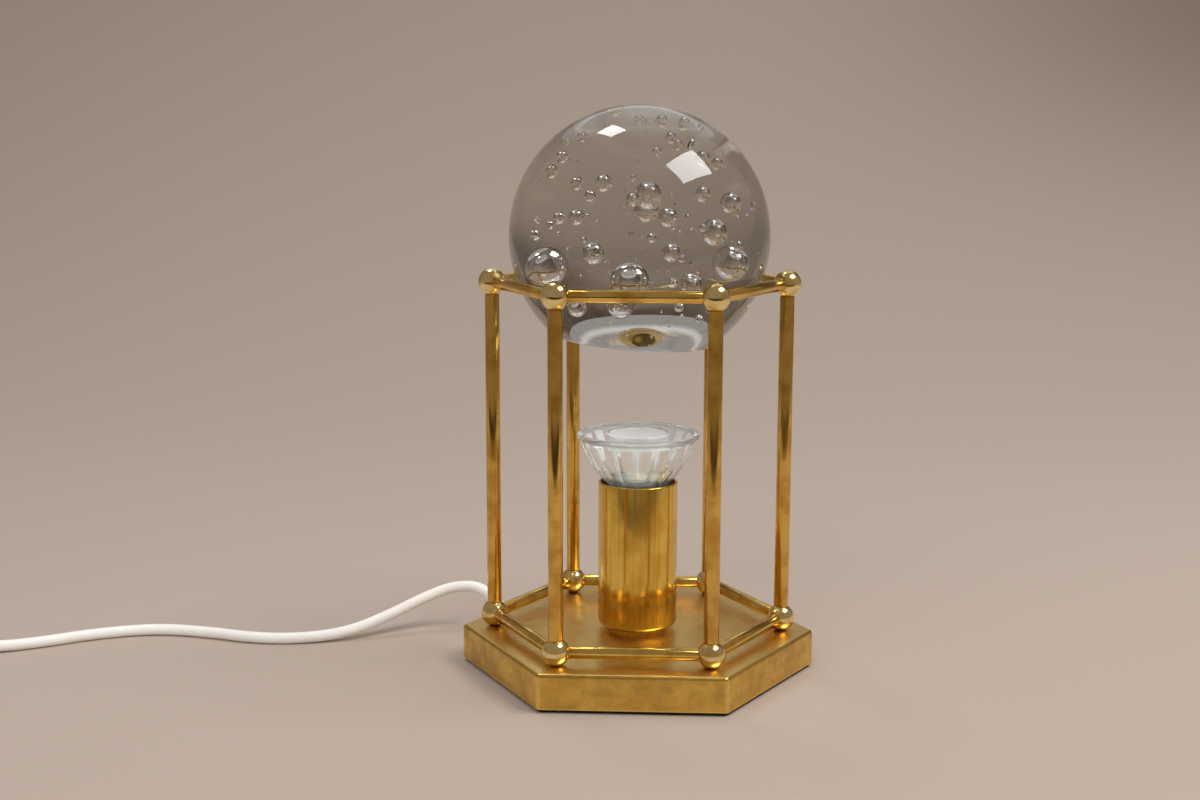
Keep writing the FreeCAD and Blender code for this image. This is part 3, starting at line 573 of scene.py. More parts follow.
def rod_shape(start, end, radius):
    """Round bar between two points with softened ends."""
    bm = bmesh.new()
    along = end - start
    turn = along.to_track_quat("Z", "Y").to_matrix().to_4x4()
    bmesh.ops.create_cone(bm, cap_ends=True, segments=48, radius1=radius, radius2=radius,
                          depth=along.length, matrix=Matrix.Translation((start + end) / 2) @ turn)
    rims = [e for e in bm.edges if any(len(f.verts) > 4 for f in e.link_faces)]
    round_off(bm, rims, 0.2 * mm, 2)
    return bm


for k in corners:
    after = k % len(corners) + 1
    foot = ball_centre("lower", k)
    head = ball_centre("upper", k)
    inset = UP * rod_entry
    add_piece("post_%d_bar" % k, rod_shape(foot + inset, head - inset, post_r), post_brass,
              "lamp", ["post_%d" % k])
    for kind in ("lower", "upper"):
        here = ball_centre(kind, k)
        there = ball_centre(kind, after)
        inset = (there - here).normalized() * rod_entry
        add_piece("%s_rail_%d_bar" % (kind, k), rod_shape(here + inset, there - inset, rail_r),
                  rail_brass, "lamp", ["%s_rail_%d" % (kind, k)])
print("posts", len(corners), "rails", 2 * len(corners))

# %% [markdown]
# ## The base
#
# The base is a tray folded from brass sheet and turned upside down. A six-sided disc is
# extruded to a prism, its upright edges and its upper rim are bevelled round, the underside is
# deleted, and the skin is given the thickness of the sheet.

# %% Base tray
sheet_thick = 1.2 * mm
tray_foot = base_low.z
upright_bevel = 1.27 * mm
rim_bevel = 1.5 * mm


def base_tray():
    """Hexagonal tray, open underneath."""
    bm = bmesh.new()
    corner_r = base_flat_r / cos(pi / 6)
    bmesh.ops.create_circle(bm, cap_ends=True, segments=6, radius=corner_r,
                            matrix=Matrix.Translation((0, 0, tray_foot)))
    raised = bmesh.ops.extrude_face_region(bm, geom=bm.faces[:])
    bmesh.ops.translate(bm, verts=made(raised["geom"], bmesh.types.BMVert),
                        vec=(0, 0, base_top - tray_foot))
    bmesh.ops.rotate(bm, verts=bm.verts[:], cent=(0, 0, 0),
                     matrix=Matrix.Rotation(radians(30), 3, "Z"))
    upright = [e for e in bm.edges if abs(e.verts[0].co.z - e.verts[1].co.z) > mm]
    round_off(bm, upright, upright_bevel, 5)
    rim = [e for e in bm.edges if min(v.co.z for v in e.verts) > base_top - 0.01 * mm]
    round_off(bm, rim, rim_bevel, 5)
    under = [f for f in bm.faces if max(v.co.z for v in f.verts) < tray_foot + 0.01 * mm]
    bmesh.ops.delete(bm, geom=under, context="FACES")
    bmesh.ops.recalc_face_normals(bm, faces=bm.faces[:])
    top = max(bm.faces, key=lambda f: f.calc_center_median().z)
    if top.normal.z < 0:
        bmesh.ops.reverse_faces(bm, faces=bm.faces[:])
    bmesh.ops.solidify(bm, geom=bm.faces[:], thickness=sheet_thick)
    return bm


tray = add_piece("base_tray", base_tray(), base_brass, "lamp", ["base_cover"])
print("tray", [round(d / mm, 1) for d in tray.dimensions])

# %% [markdown]
# ## Turned shapes
#
# Cup, bulb and globe are all round, so each is one outline turned about the lamp's axis. The
# outline is a short list of points, with arcs worked out where the real edge is round, and
# bmesh's spin sweeps it through a full turn.

# %% Turn an outline
def arc(centre, radius, start, end, count):
    """Points (radius from the axis, height) on an arc, angles in degrees."""
    angles = [radians(start + (end - start) * k / count) for k in range(count + 1)]
    return [(centre[0] + radius * cos(a), centre[1] + radius * sin(a)) for a in angles]


def through(first, second, third, count):
    """Points on the arc that passes through three points."""
    (ax, ay), (bx, by), (cx, cy) = first, second, third
    d = 2 * (ax * (by - cy) + bx * (cy - ay) + cx * (ay - by))
    a2, b2, c2 = (x * x + y * y for x, y in (first, second, third))
    ux = (a2 * (by - cy) + b2 * (cy - ay) + c2 * (ay - by)) / d
    uy = (a2 * (cx - bx) + b2 * (ax - cx) + c2 * (bx - ax)) / d
    centre = Vector((ux, uy))
    spoke = Vector(first) - centre
    sweep = spoke.angle_signed(Vector(third) - centre)
    turned = [Matrix.Rotation(-sweep * k / count, 2) @ spoke + centre for k in range(count + 1)]
    return [(p.x, p.y) for p in turned]


def turned_shape(points, steps, closed=True):
    """Turns an outline of (radius, height) points about the axis."""
    bm = bmesh.new()
    line = [bm.verts.new((r, 0, z)) for r, z in points]
    pairs = list(zip(line, line[1:] + line[:1])) if closed else list(zip(line, line[1:]))
    for a, b in pairs:
        bm.edges.new((a, b))
    bmesh.ops.spin(bm, geom=bm.verts[:] + bm.edges[:], cent=(0, 0, 0), axis=(0, 0, 1),
                   angle=2 * pi, steps=steps, use_merge=True)
    bmesh.ops.remove_doubles(bm, verts=bm.verts[:], dist=1e-7)
    bmesh.ops.recalc_face_normals(bm, faces=bm.faces[:])
    return bm


# %% [markdown]
# ## The cup
#
# The cup is drawn from thin brass: a straight wall, a rounded lower edge and a rolled lip. It
# stands on a smaller turned foot, which leaves a dark gap under it. Its wall is a closed
# outline, so the inside is there when the bulb is lifted out.

# %% Cup
cup_low, cup_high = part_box("lamp_cup")
cup_r = cup_high.x
cup_wall = 1.0 * mm
cup_edge_r = 2.2 * mm
cup_rise = 2.0 * mm
cup_foot_r = 11.5 * mm
cup_hole_r = 5.15 * mm


def cup_outline():
    """Section of the cup's wall, floor and turned foot."""
    inside = cup_r - cup_wall
    lip = cup_wall / 2
    bend = cup_edge_r - cup_wall
    foot = cup_low.z + cup_rise
    floor = foot + cup_wall
    points = [(cup_hole_r, cup_low.z), (cup_foot_r, cup_low.z), (cup_foot_r, foot)]
    points += arc((cup_r - cup_edge_r, foot + cup_edge_r), cup_edge_r, -90, 0, 8)
    points += arc((cup_r - lip, cup_high.z - lip), lip, 0, 180, 8)
    points += arc((inside - bend, floor + bend), bend, 0, -90, 5)
    points.append((cup_hole_r, floor))
    return points


add_piece("cup_drawn", turned_shape(cup_outline(), 120), cup_brass, "lamp", ["lamp_cup"])
print("cup", round(2 * cup_r / mm, 1), "mm across")

# %% [markdown]
# ## The bulb
#
# The bulb's bowl is pressed glass with eighteen upright flutes outside and a smooth inside. It
# is turned first, in steps that fit the flutes. Then each outer point is pushed in by a
# scallop that is deepest in the middle of its flute and dies away towards rim and neck.

# %% Bulb bowl
bowl_low, bowl_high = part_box("bulb_glass")
rim_z = bowl_high.z
rim_r = bowl_high.x
rim_thick = 2.5 * mm
seat_depth = 2.0 * mm
seat_gap = 0.1 * mm
bowl_wall = 1.3 * mm
flute_count = 18
flute_depth = 0.75 * mm
flute_steps = 12
lens_low, lens_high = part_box("bulb_lens")


def bowl_points(inset):
    """Section of the bowl from under the rim to the neck: rim, middle, foot, neck."""
    rim = (23.8 * mm - inset, rim_z - rim_thick)
    belly = (19.6 * mm - inset, rim_z - 11.9 * mm)
    foot = (12.4 * mm - inset, rim_z - 21.8 * mm)
    neck = (10.5 * mm - inset, rim_z - 23.6 * mm)
    return rim, belly, foot, neck


def bowl_outline():
    """Closed section of the bowl's wall with its thick rim."""
    rim, belly, foot, neck = bowl_points(0)
    rim_in, belly_in, foot_in, neck_in = bowl_points(bowl_wall)
    half = rim_thick / 2
    seat_r = lens_high.x + seat_gap
    seat_z = rim_z - seat_depth
    end = bowl_low.z
    points = [(neck[0], end), neck]
    points += through(foot, belly, rim, 40)
    points += arc((rim_r - half, rim_z - half), half, -90, 90, 12)
    points += [(seat_r, rim_z), (seat_r, seat_z), (rim_in[0], seat_z)]
    points += through(rim_in, belly_in, foot_in, 24)
    points += [neck_in, (neck_in[0], end)]
    return points


def press_flutes(bm):
    """Pushes the outer wall in between its ridges."""
    rim, _, foot, _ = bowl_points(0)
    high = rim[1] - 0.4 * mm
    low = foot[1] + 0.4 * mm
    for v in bm.verts:
        radius = sqrt(v.co.x ** 2 + v.co.y ** 2)
        share = (v.co.z - low) / (high - low)
        outside = v.normal.x * v.co.x + v.normal.y * v.co.y > 0
        if 0 < share < 1 and outside:
            turn = Vector((v.co.x, v.co.y)).angle_signed(Vector((1, 0))) / (2 * pi)
            across = turn * flute_count - round(turn * flute_count)
            fade = min(1, share * 6) * min(1, (1 - share) * 7)
            push = flute_depth * (1 - (2 * across) ** 2) * fade
            v.co.x *= 1 - push / radius
            v.co.y *= 1 - push / radius


def flute_highlight_bars(glass):
    """White on the middle of each flute round the belly of the bowl: painted highlights."""
    x, y, z = (glass.along(way) for way in ((1, 0, 0), (0, 1, 0), (0, 0, 1)))
    turn = y.math("ARCTAN2", x) * (flute_count / (2 * pi))
    across = abs((turn + 0.5).fraction() - 0.5)
    from_below = z.ramp(rim_z - 14.5 * mm, rim_z - 12 * mm)
    band = from_below - z.ramp(rim_z - 4.5 * mm, rim_z - 3 * mm)
    return 0.06 + (1 - across.ramp(0.18, 0.38)) * band * 0.9


# painted highlights: the flute bars stand in for the bright reflections in the flutes
bulb_glass = satin_and_highlight_glass("bulb_glass", tint(246, 250, 248), flute_highlight_bars)
bowl = turned_shape(bowl_outline(), flute_count * flute_steps)
bowl.normal_update()
press_flutes(bowl)
add_piece("bowl_fluted", bowl, bulb_glass, "bulb", ["bulb_glass"], crease=40)
print("bowl", round(2 * rim_r / mm, 1), "mm across with", flute_count, "flutes")

# %% [markdown]
# The front of the bulb is one clear moulding: a flat lens with a fine raised ring, and under it
# a cone that catches the light of the module. It is turned from a single outline.

# %% Lens
lens_r = lens_high.x
lens_thick = 1.5 * mm
lens_top = rim_z - 0.5 * mm
ring_r = 12.6 * mm
ring_half = 0.5 * mm
cone_top_r = 11.8 * mm
cone_foot_r = 6.2 * mm


def lens_outline():
    """Section of the lens and its cone."""
    under = lens_top - lens_thick
    foot = lens_low.z
    belly = (cone_foot_r + 0.62 * (cone_top_r - cone_foot_r), foot + 0.42 * (under - foot))
    points = [(0, foot)]
    points += through((cone_foot_r, foot), belly, (cone_top_r, under), 20)
    points += [(lens_r, under), (lens_r, lens_top), (ring_r + ring_half, lens_top)]
    points += arc((ring_r, lens_top), ring_half, 30, 150, 6)
    points += [(ring_r - ring_half, lens_top), (0, lens_top)]
    return points


def cone_satin(glass):
    """Cloudy in the cone and clear in the lens round it."""
    depth = glass.along((0, 0, 1))
    return 0.04 + (1 - depth.ramp(lens_top - 4 * mm, lens_top - lens_thick)) * 0.8


lens_glass = satin_and_highlight_glass("lens_clear", tint(250, 252, 254), cone_satin)
add_piece("lens_moulded", turned_shape(lens_outline(), 120, closed=False), lens_glass, "bulb",
          ["bulb_lens"], crease=25)

# %% [markdown]
# ## The globe
#
# The globe is solid, so light bends once going in and once coming out. It is turned from a
# half outline with the ground flat underneath, and then leaned a little, because the real one
# doesn't sit quite level in its ring. The flat is ground faintly milky, and pale milky rings
# are painted on it: painted light that stands in for the bright rings the globe bends into its
# foot.

# %% Globe
globe_low, globe_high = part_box("glass_globe")
globe_r = (globe_high.y - globe_low.y) / 2
globe_centre = Vector((0, 0, globe_high.z - globe_r))
ground_away = 10.4 * mm
globe_flat = globe_r - ground_away
globe_lean = radians(4.5)
flat_bevel = 0.7 * mm


def globe_outline():
    """Half section of the globe from the middle of its flat to its top, about its centre."""
    rise = flat_bevel * 0.6
    start = asin(-(globe_flat - rise) / globe_r)
    flat_r = sqrt(globe_r ** 2 - globe_flat ** 2) - flat_bevel
    ends = (start * 180 / pi, 90)
    return [(0, -globe_flat), (flat_r, -globe_flat)] + arc((0, 0), globe_r, *ends, 110)


flat_axis = Vector((-sin(globe_lean), 0, -cos(globe_lean)))
# painted light: radius, width and strength of the pale rings painted on the flat
painted_flat_rings = [(0, 17 * mm, 0.62), (22.5 * mm, 4.5 * mm, 0.4), (27.5 * mm, 4.0 * mm, 0.24)]
globe_glass = ground_glass_with_painted_rings("globe_glass", globe_centre, flat_axis, globe_flat, painted_flat_rings)
globe = turned_shape(globe_outline(), 200, closed=False)
bmesh.ops.rotate(globe, verts=globe.verts[:], cent=(0, 0, 0),
                 matrix=Matrix.Rotation(globe_lean, 3, "Y"))
bmesh.ops.translate(globe, verts=globe.verts[:], vec=globe_centre)
add_piece("globe_ground", globe, globe_glass, "globe", ["glass_globe"], crease=30)
print("globe radius", round(globe_r / mm, 2), "mm")

# %% [markdown]
# ## Bubbles in the glass
#
# A bubble is not where it seems: the ball magnifies what is in it. So each smaller bubble, given
# by where it shows, is placed as an optician would, by following the line of sight to the
# surface, bending it there, and going on into the glass; the larger ones are given by their
# place in the ball. What is deep in the ball looks up to three times its size, and the real
# radius is less by that much.

# %% Line of sight into the globe
def sight(px, py):
    """Direction from the camera through a pixel of the photograph."""
    x = (px - photo_width / 2) / focal_px
    y = (photo_height / 2 - py) / focal_px
    return (view_right * x + view_up * y - toward_camera).normalized()


def inside_globe(px, py, depth):
    """Point that shows at a pixel, at a share of the way through the glass, and how much
    larger it looks there."""
    ray = sight(px, py)
    to_centre = globe_centre - camera_place
    nearest = to_centre.dot(ray)
    reach = globe_r ** 2 - (to_centre.length_squared - nearest ** 2)
    entry = camera_place + ray * (nearest - sqrt(max(reach, 0)))
    normal = (entry - globe_centre) / globe_r
    slant = -normal.dot(ray)
    ratio = 1 / glass_index
    bent = ray * ratio + normal * (ratio * slant - sqrt(1 - ratio ** 2 * (1 - slant ** 2)))
    path = -2 * normal.dot(bent) * globe_r
    travel = path * depth
    enlarged = glass_index * globe_r / (glass_index * globe_r - (glass_index - 1) * travel)
    return entry + bent * travel, enlarged


# %% Bubbles
metres_per_px = (camera_place - globe_centre).length / focal_px
# x, y and z as shares of the globe's radius, and the bubble's own radius in mm
large_bubbles = [
    (0.05, -0.12, 0.23, 4.1), (0.02, 0.33, 0.09, 3.0), (-0.03, -0.40, 0.25, 2.3),
    (0.14, 0.06, 0.09, 2.7), (-0.19, -0.03, 0.28, 2.6), (-0.34, -0.08, 0.29, 2.1),
    (-0.32, 0.05, 0.09, 2.2), (-0.25, -0.18, -0.08, 3.3), (-0.41, 0.31, -0.16, 4.6),
    (-0.47, 0.03, 0.34, 2.2), (0.32, 0.09, 0.39, 2.4), (0.36, -0.16, 0.25, 2.5),
    (0.42, 0.23, 0.14, 2.7), (0.38, 0.04, 0.02, 3.7), (0.19, -0.28, -0.07, 2.8),
    (0.40, 0.29, -0.14, 4.2), (-0.05, 0.20, -0.23, 4.9), (0.28, -0.10, -0.25, 3.3),
    (-0.31, 0.08, -0.36, 2.6), (-0.10, -0.34, -0.38, 4.3),
]
# where each shows in the photograph, its radius there, and the share of the way through
small_bubbles = [
    (590, 196, 6, 0.60), (559, 218, 6, 0.45), (550, 225, 4, 0.50), (535, 235, 5, 0.50),
    (562, 157, 6, 0.50), (568, 142, 3, 0.40), (582, 137, 5, 0.50), (616, 109, 6, 0.50),
    (639, 119, 5, 0.40), (648, 122, 3, 0.50), (662, 121, 6, 0.50), (684, 124, 5, 0.60),
    (671, 138, 6, 0.45), (678, 145, 5, 0.55), (657, 152, 5, 0.40), (717, 164, 6, 0.50),
    (703, 228, 4, 0.30), (682, 259, 4, 0.50), (738, 246, 5, 0.35), (673, 283, 5, 0.35),
    (633, 178, 3, 0.30), (652, 238, 5, 0.30), (584, 240, 3, 0.30), (753, 206, 4, 0.50),
    (679, 307, 5, 0.45), (699, 319, 4, 0.45),
]
# a fine spray of seeds fills the rest
seed_count = 240
seed_reach = 0.93
seed_clearance = 3 * mm
dice = random.Random(7)


def add_sphere(bm, place, radius, fineness):
    """Adds a small sphere to a mesh."""
    bmesh.ops.create_icosphere(bm, subdivisions=fineness, radius=radius,
                               matrix=Matrix.Translation(place))


def bubble_cloud():
    """All the bubbles as one mesh of separate spheres."""
    bm = bmesh.new()
    for x, y, z, radius in large_bubbles:
        add_sphere(bm, globe_centre + Vector((x, y, z)) * globe_r, radius * mm, 5)
    for px, py, radius_px, depth in small_bubbles:
        place, enlarged = inside_globe(px, py, depth)
        add_sphere(bm, place, radius_px * metres_per_px / enlarged, 4)
    for _ in range(seed_count):
        away = Vector([dice.gauss(0, 1) for _ in range(3)]).normalized()
        place = globe_centre + away * (globe_r * seed_reach * dice.random() ** (1 / 3))
        if place.z > globe_centre.z - globe_flat + seed_clearance:
            add_sphere(bm, place, dice.uniform(0.15, 0.5) * mm, 2)
    return bm


add_piece("globe_bubbles", bubble_cloud(), air_in_glass, "globe", ["glass_globe"], crease=80)
print("bubbles", len(large_bubbles) + len(small_bubbles), "and up to", seed_count, "seeds")

# %% [markdown]
# ## The cord
#
# The cord is stiff white vinyl. It leaves the wall of the base, stands up in a short hump and
# comes down to the table, where it wanders out of the picture in one long, lazy wave. A NURBS
# curve through a few points gives that line its even bends. Past the edge of the picture it
# has its switch, and what is left over is wound into a coil beside the plug.

# %% Cord from the base to the switch
cord_r = 2.4 * mm
cord_along = 4 * mm
cord_height = 9 * mm
cord_inside = 10 * mm
wall_way = level_way(150)
wall_side = level_way(60)
cord_exit = wall_way * base_flat_r + wall_side * cord_along + UP * cord_height
switch_way = level_way(203.3)
switch_start = Vector((-298.3, -13.1, 6.0)) * mm
switch_length = 58 * mm
switch_lead_in = 12 * mm
switch_neck = 9 * mm


def soft_line(name, points, resolution):
    """Round cord along a NURBS curve through control points in metres."""
    line = bpy.data.curves.new(name, "CURVE")
    line.dimensions = "3D"
    line.bevel_depth = cord_r
    line.bevel_resolution = 7
    line.resolution_u = resolution
    line.use_fill_caps = True
    spline = line.splines.new("NURBS")
    spline.points.add(len(points) - 1)
    for knot, point in zip(spline.points, points):
        knot.co = (*point, 1.0)
    spline.order_u = 3
    spline.use_endpoint_u = True
    line.materials.append(plain_finishes["cord_pvc"])
    piece = bpy.data.objects.new(name, line)
    bpy.context.scene.collection.objects.link(piece)
    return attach(piece, "lamp")


seen_route = [
    (-60.4, 39.5, 9.0), (-69.4, 44.8, 18.9), (-83.0, 46.8, 18.6), (-96.2, 41.2, 14.2),
    (-110.0, 33.2, 8.6), (-124.5, 24.8, 4.0), (-141.0, 18.6, 2.4), (-163.0, 16.0, 2.4),
    (-188.0, 24.2, 2.4), (-212.0, 27.8, 2.4), (-236.0, 19.2, 2.4), (-256.0, 5.6, 2.4),
    (-273.0, -3.0, 2.7),
]
first_points = [cord_exit - wall_way * cord_inside] + [Vector(p) * mm for p in seen_route]
first_points += [switch_start - switch_way * switch_lead_in, switch_start]
lead = soft_line("cord_lead", first_points, 16)
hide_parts("power_cord")

# %% [markdown]
# A real coil is wound in layers, and each layer lies in the grooves of the one below. The turns
# are worked out by a loop: for each turn a radius and a height, with a short stretch where the
# cord steps over to the next one.

# %% Coil and tail
coil_centre = Vector((-396.4, -20.9, 0)) * mm
layer_rise = 4.7
coil_low = 3.0
# radius of each turn in mm, and the layer it lies in
turn_places = [(31.6, 0), (26.6, 0), (21.6, 0), (24.1, 1), (29.1, 1), (21.6, 2), (26.6, 2),
               (31.6, 2), (31.6, 2)]
points_per_turn = 18
lift_at = 0.68
lift_share = 0.16
shift_at = 0.82
coil_start = -68.7
coil_end = 86.5


def smooth_step(share):
    """0 to 1 with soft ends."""
    share = min(1.0, max(0.0, share))
    return share * share * (3 - 2 * share)


def coil_point(turns):
    """Point of the coil after a number of turns, clockwise seen from above."""
    k = int(turns)
    part = turns - k
    here = turn_places[k]
    after = turn_places[min(k + 1, len(turn_places) - 1)]
    lift = smooth_step((part - lift_at) / lift_share)
    shift = smooth_step((part - shift_at) / (1 - shift_at))
    radius = (here[0] + (after[0] - here[0]) * shift) * mm
    height = coil_low + layer_rise * (here[1] + (after[1] - here[1]) * lift)
    angle = radians(coil_start - 360 * turns)
    return coil_centre + Vector((radius * cos(angle), radius * sin(angle), height * mm))


full_turns = 8
whole_turns = full_turns + (coil_start - coil_end + 360) / 360
switch_end = switch_start + switch_way * switch_length
link_point = Vector((-366.5, -42.4, 4.0)) * mm
second_points = [switch_end, switch_end + switch_way * switch_neck, link_point]
coil_steps = int(whole_turns * points_per_turn)
second_points += [coil_point(whole_turns * k / coil_steps) for k in range(coil_steps + 1)]
plug_way = level_way(15)
plug_start = Vector((-368.8, 14.95, 6.85)) * mm
plug_lead_in = 6 * mm
tail_point = Vector((-384.5, 11.2, 10.6)) * mm
second_points += [tail_point, plug_start - plug_way * plug_lead_in, plug_start]
rest = soft_line("cord_rest", second_points, 6)
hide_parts("cord_link", "cord_coil", "cord_tail")
print("coil of", round(whole_turns, 2), "turns")

# %% [markdown]
# ## Smooth copies
#
# The switch, the plug and the bush have moulded shapes that the model already gives well, only
# in flat facets. A copy is merged at its doubles and shaded smooth, with a Weighted Normal
# modifier that keeps large faces flat.

# %% Switch, plug and bush
def smooth_copy(node, finish, body, crease=32):
    """Copy of a model piece with its facets joined and shaded smooth."""
    bm = bmesh.new()
    bm.from_mesh(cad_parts[node].data)
    bmesh.ops.remove_doubles(bm, verts=bm.verts[:], dist=1e-7)
    piece = add_piece(node + "_smooth", bm, finish, body, [node], crease)
    even = piece.modifiers.new("even shading", "WEIGHTED_NORMAL")
    even.keep_sharp = True
    return piece


white = plain_finishes["plastic_white"]
switch_parts = [smooth_copy("switch_base", white, "lamp"),
                smooth_copy("switch_cover", white, "lamp"),
                smooth_copy("switch_rocker", white, "rocker")]
plug_parts = [smooth_copy("plug_body", white, "lamp"),
              smooth_copy("plug_pins", plain_finishes["nickel"], "lamp")]
smooth_copy("cord_bush", plain_finishes["plastic_black"], "lamp")
smooth_copy("bulb_base", plain_finishes["plastic_black"], "bulb")

# %% [markdown]
# A wound coil springs open, so a flat tie holds the bundle at one side. Its section is a
# rectangle with rounded corners, and the band is drawn out and given a thickness.

# %% Tie round the coil
def coil_tie():
    """Flat band round the bundle at one side of the coil, clear of the table."""
    thick = 0.5 * mm
    wide = 6 * mm
    low = Vector((18.8, 0.55)) * mm
    high = Vector((34.1, 14.9)) * mm
    bm = bmesh.new()
    bmesh.ops.create_grid(bm, x_segments=1, y_segments=1, size=0.5)
    bmesh.ops.scale(bm, verts=bm.verts[:], vec=(high.x - low.x, high.y - low.y, 1))
    round_off(bm, bm.verts[:], 3 * mm, 6, "VERTICES")
    bmesh.ops.delete(bm, geom=bm.faces[:], context="FACES_ONLY")
    drawn = bmesh.ops.extrude_edge_only(bm, edges=bm.edges[:])
    bmesh.ops.translate(bm, verts=made(drawn["geom"], bmesh.types.BMVert), vec=(0, 0, wide))
    bmesh.ops.recalc_face_normals(bm, faces=bm.faces[:])
    bmesh.ops.solidify(bm, geom=bm.faces[:], thickness=-thick)
    bmesh.ops.recalc_face_normals(bm, faces=bm.faces[:])
    spoke = level_way(238)
    frame_axes = Matrix((spoke, UP, spoke.cross(UP))).transposed().to_4x4()
    centre = coil_centre + spoke * (low.x + high.x) / 2 + UP * (low.y + high.y) / 2
    shift = Matrix.Translation(centre) @ frame_axes @ Matrix.Translation((0, 0, -wide / 2))
    bmesh.ops.transform(bm, matrix=shift, verts=bm.verts[:])
    return bm


tie = add_piece("coil_tie", coil_tie(), plain_finishes["plastic_black"], "lamp")
tie_low = min(v.co.z for v in tie.data.vertices)
print("tie", [round(d / mm, 1) for d in tie.dimensions], "lowest", round(tie_low / mm, 2))

# %% [markdown]
# The cord is soft, and it is made as two curves: from the base to the switch, and from the
# switch to the plug.

# %% [markdown]
# ## Finishes on the model's own pieces
#
# Many pieces are hidden in the base or the cup, or have plain flat faces. Their construction
# shapes are right as they are, so they only get a finish, chosen by the material that the
# record gives each of them.

# %% Dress the hidden pieces
def dress(node, finish):
    """Gives every material slot of one of the model's pieces the same finish."""
    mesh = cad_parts[node].data
    mesh.materials.clear()
    mesh.materials.append(finish)


hidden_finishes = {
    "ball_screws": "steel_zinc", "plate_screws": "steel_zinc", "holder_screws": "steel_zinc",
    "nipple_nut": "steel_zinc", "cup_nipple": "steel_zinc", "holder_bracket": "steel_zinc",
    "cover_pillars": "brass_plain", "holder_contacts": "brass_plain",
    "bottom_plate": "board_black", "terminal_block": "plastic_clear", "lampholder": "ceramic",
    "lamp_leads": "lead_sleeve", "bulb_led": "module_grey", "bulb_pins": "nickel",
}
for node, finish in hidden_finishes.items():
    dress(node, plain_finishes[finish])

# %% [markdown]
# ## Table and backdrop
#
# The lamp was photographed on a taupe sweep of paper that curves up behind it, so there is no
# horizon. One outline is drawn out sideways to make it.

# %% Sweep of paper
def paper():
    """Matt taupe paper that falls into shade at the upper right."""
    sweep = Finish("sweep_paper")
    far = sweep.along((0, 1, 0)).ramp(0.2, 2.4)
    right = sweep.along((1, 0, 0)).ramp(0.05, 0.9) * sweep.along((0, 0, 1)).ramp(0.02, 0.35)
    colour = sweep.mix(far, tint(187, 172, 160), tint(190, 174, 161))
    colour = sweep.mix(right * 0.6, colour, tint(112, 99, 89))
    grain = sweep.noise(0.8 * mm, 3)
    return sweep.skin({"Base Color": colour, "Roughness": 0.9, "Specular IOR Level": 0.2,
                       "Normal": sweep.bump(grain, 0.02 * mm)})


def paper_sweep():
    """Floor, curve and wall from one line drawn out sideways."""
    half_wide = 2.8
    front = -0.42
    bend_y = 0.5
    bend_r = 2.0
    wall_top = 2.6
    bm = bmesh.new()
    line = [(front, 0.0)] + [(y, z + bend_r) for y, z in arc((bend_y, 0), bend_r, -90, 0, 24)]
    line.append((bend_y + bend_r, wall_top))
    verts = [bm.verts.new((-half_wide, y, z)) for y, z in line]
    edges = [bm.edges.new(pair) for pair in zip(verts, verts[1:])]
    drawn = bmesh.ops.extrude_edge_only(bm, edges=edges)
    bmesh.ops.translate(bm, verts=made(drawn["geom"], bmesh.types.BMVert),
                        vec=(2 * half_wide, 0, 0))
    for face in bm.faces:
        face.normal_update()
        if face.normal.z < 0 or face.normal.y > 0.5:
            face.normal_flip()
    sweep = object_of("sweep", bm, paper())
    sweep.data.shade_smooth()


paper_sweep()

# %% [markdown]
# The paper ends a little in front of the lamp. Past its edge the brass mirrors the dark floor of
# the room, which draws the dark wedge down each post and down the cup. Only the mirrors and the
# glass need that floor, so the camera doesn't see it.

# %% Dark floor
def dark_room():
    """Dark floor of the room, below the table and in front of it."""
    room = Finish("room_floor")
    patches = room.noise(0.3, 3)
    colour = room.mix(patches, tint(44, 38, 34), tint(58, 50, 44))
    bm = bmesh.new()
    bmesh.ops.create_grid(bm, x_segments=1, y_segments=1, size=9,
                          matrix=Matrix.Translation((0, 0, -0.75)))
    floor = object_of("room", bm, room.skin({"Base Color": colour, "Roughness": 0.9}))
    floor.visible_camera = False


dark_room()

# %% [markdown]
# ## Light
#
# The light is a large soft box high on the right, with a smaller one overhead and a broad one
# beside the camera. The globe mirrors the first two as bright windows, so both are placed and
# turned by where those windows show. The broad one only fills the shade and isn't mirrored.

# %% Soft boxes
def seen(right, up, toward):
    """Direction from shares of the camera's right, its up and the way towards it."""
    return (view_right * right + view_up * up + toward_camera * toward).normalized()


def soft_box(name, way, long_side, distance, size, watts):
    """Rectangular soft box in a direction from the globe, facing it, turned by its long side."""
    lamp = bpy.data.lights.new(name, "AREA")
    lamp.shape = "RECTANGLE"
    lamp.size, lamp.size_y = size
    lamp.energy = watts
    box = bpy.data.objects.new(name, lamp)
    short_side = way.cross(long_side).normalized()
    turn = Matrix((short_side.cross(way), short_side, way)).transposed().to_4x4()
    box.matrix_world = Matrix.Translation(globe_centre + way * distance) @ turn
    bpy.context.scene.collection.objects.link(box)
    print(name, watts, "W at", distance, "m")
    return box


soft_box("key_light", seen(0.53, 0.73, 0.29), seen(0.226, 0.044, -0.487), 1.5, (0.83, 0.52),
         14.0)
soft_box("fill_light", seen(-0.236, 0.939, -0.196), seen(0.088, 0.073, 0.221), 1.5,
         (0.36, 0.26), 3.0)
fill = soft_box("front_fill", seen(-0.35, 0.45, 0.82), seen(1, 0, 0), 1.6, (1.2, 1.2), 10.0)
fill.visible_glossy = False
fill.visible_transmission = False

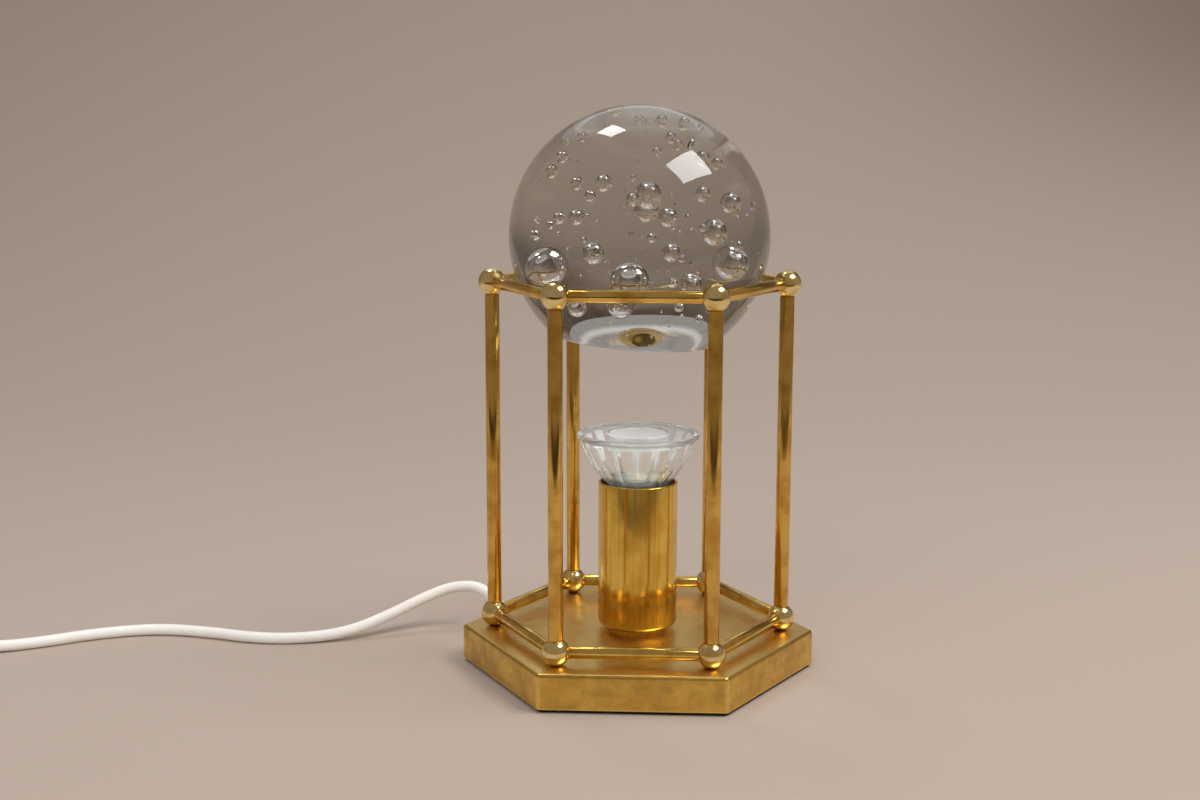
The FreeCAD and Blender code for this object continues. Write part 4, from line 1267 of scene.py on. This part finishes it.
# %% [markdown]
# Behind the picture's upper edge hangs a large round dish lamp. It is hardly brighter than the
# room, but the globe gathers it into the pale rings that show in its foot.

# %% Dish lamp
dish_r = 0.98
dish_distance = 1.8
dish_rings = [(0.0, 0.42, 0.25), (0.74, 0.10, 0.6)]
dish_strength = 1.35


def dish_glow():
    """Even glow with a brighter middle and a bright ring, on the side that faces the lamp."""
    glow = Finish("dish_lamp")
    radius = glow.length(glow.where())
    level = 0.5
    for ring, width, share in dish_rings:
        level = level + (1 - abs(radius - ring).ramp(0.0, width)) * share
    front = 1 - glow.node("NewGeometry", output="Backfacing")
    colour = glow.mix(level * front / dish_strength, (0, 0, 0, 1), tint(250, 250, 252))
    shader = glow.node("Emission", None, {"Color": colour, "Strength": dish_strength})
    glow.node("OutputMaterial", None, {"Surface": shader})
    return glow.material


def dish_lamp():
    """Round disc that faces the globe from high behind it."""
    bm = bmesh.new()
    bmesh.ops.create_circle(bm, cap_ends=True, segments=96, radius=dish_r)
    dish = object_of("dish", bm, dish_glow())
    way = seen(0.0, 0.839, -0.545)
    turn = (-way).to_track_quat("Z", "Y").to_matrix().to_4x4()
    dish.matrix_world = Matrix.Translation(globe_centre + way * dish_distance) @ turn


dish_lamp()

# %% [markdown]
# The room is a pale, even light for everything matt. Polished brass and glass would mirror that
# light as a white fog, while the real studio was dark behind the lamps, so for glossy and
# transmitted rays the room is dim.

# %% Room
def room_light():
    """Even pale light on matt surfaces, and a dim room in metal and glass."""
    world = bpy.data.worlds.new("room")
    world.use_nodes = True
    room = Web(world.node_tree)
    pale = room.node("Background", None, {"Color": tint(222, 214, 206), "Strength": 0.44})
    dim = room.node("Background", None, {"Color": tint(150, 136, 124), "Strength": 0.85})
    mirrored = room.node("LightPath", output="Is Glossy Ray")
    shiny = mirrored.larger(room.node("LightPath", output="Is Transmission Ray"))
    both = room.node("MixShader", None, {0: shiny, 1: pale, 2: dim})
    room.node("OutputWorld", None, {"Surface": both})
    return world


bpy.context.scene.world = room_light()
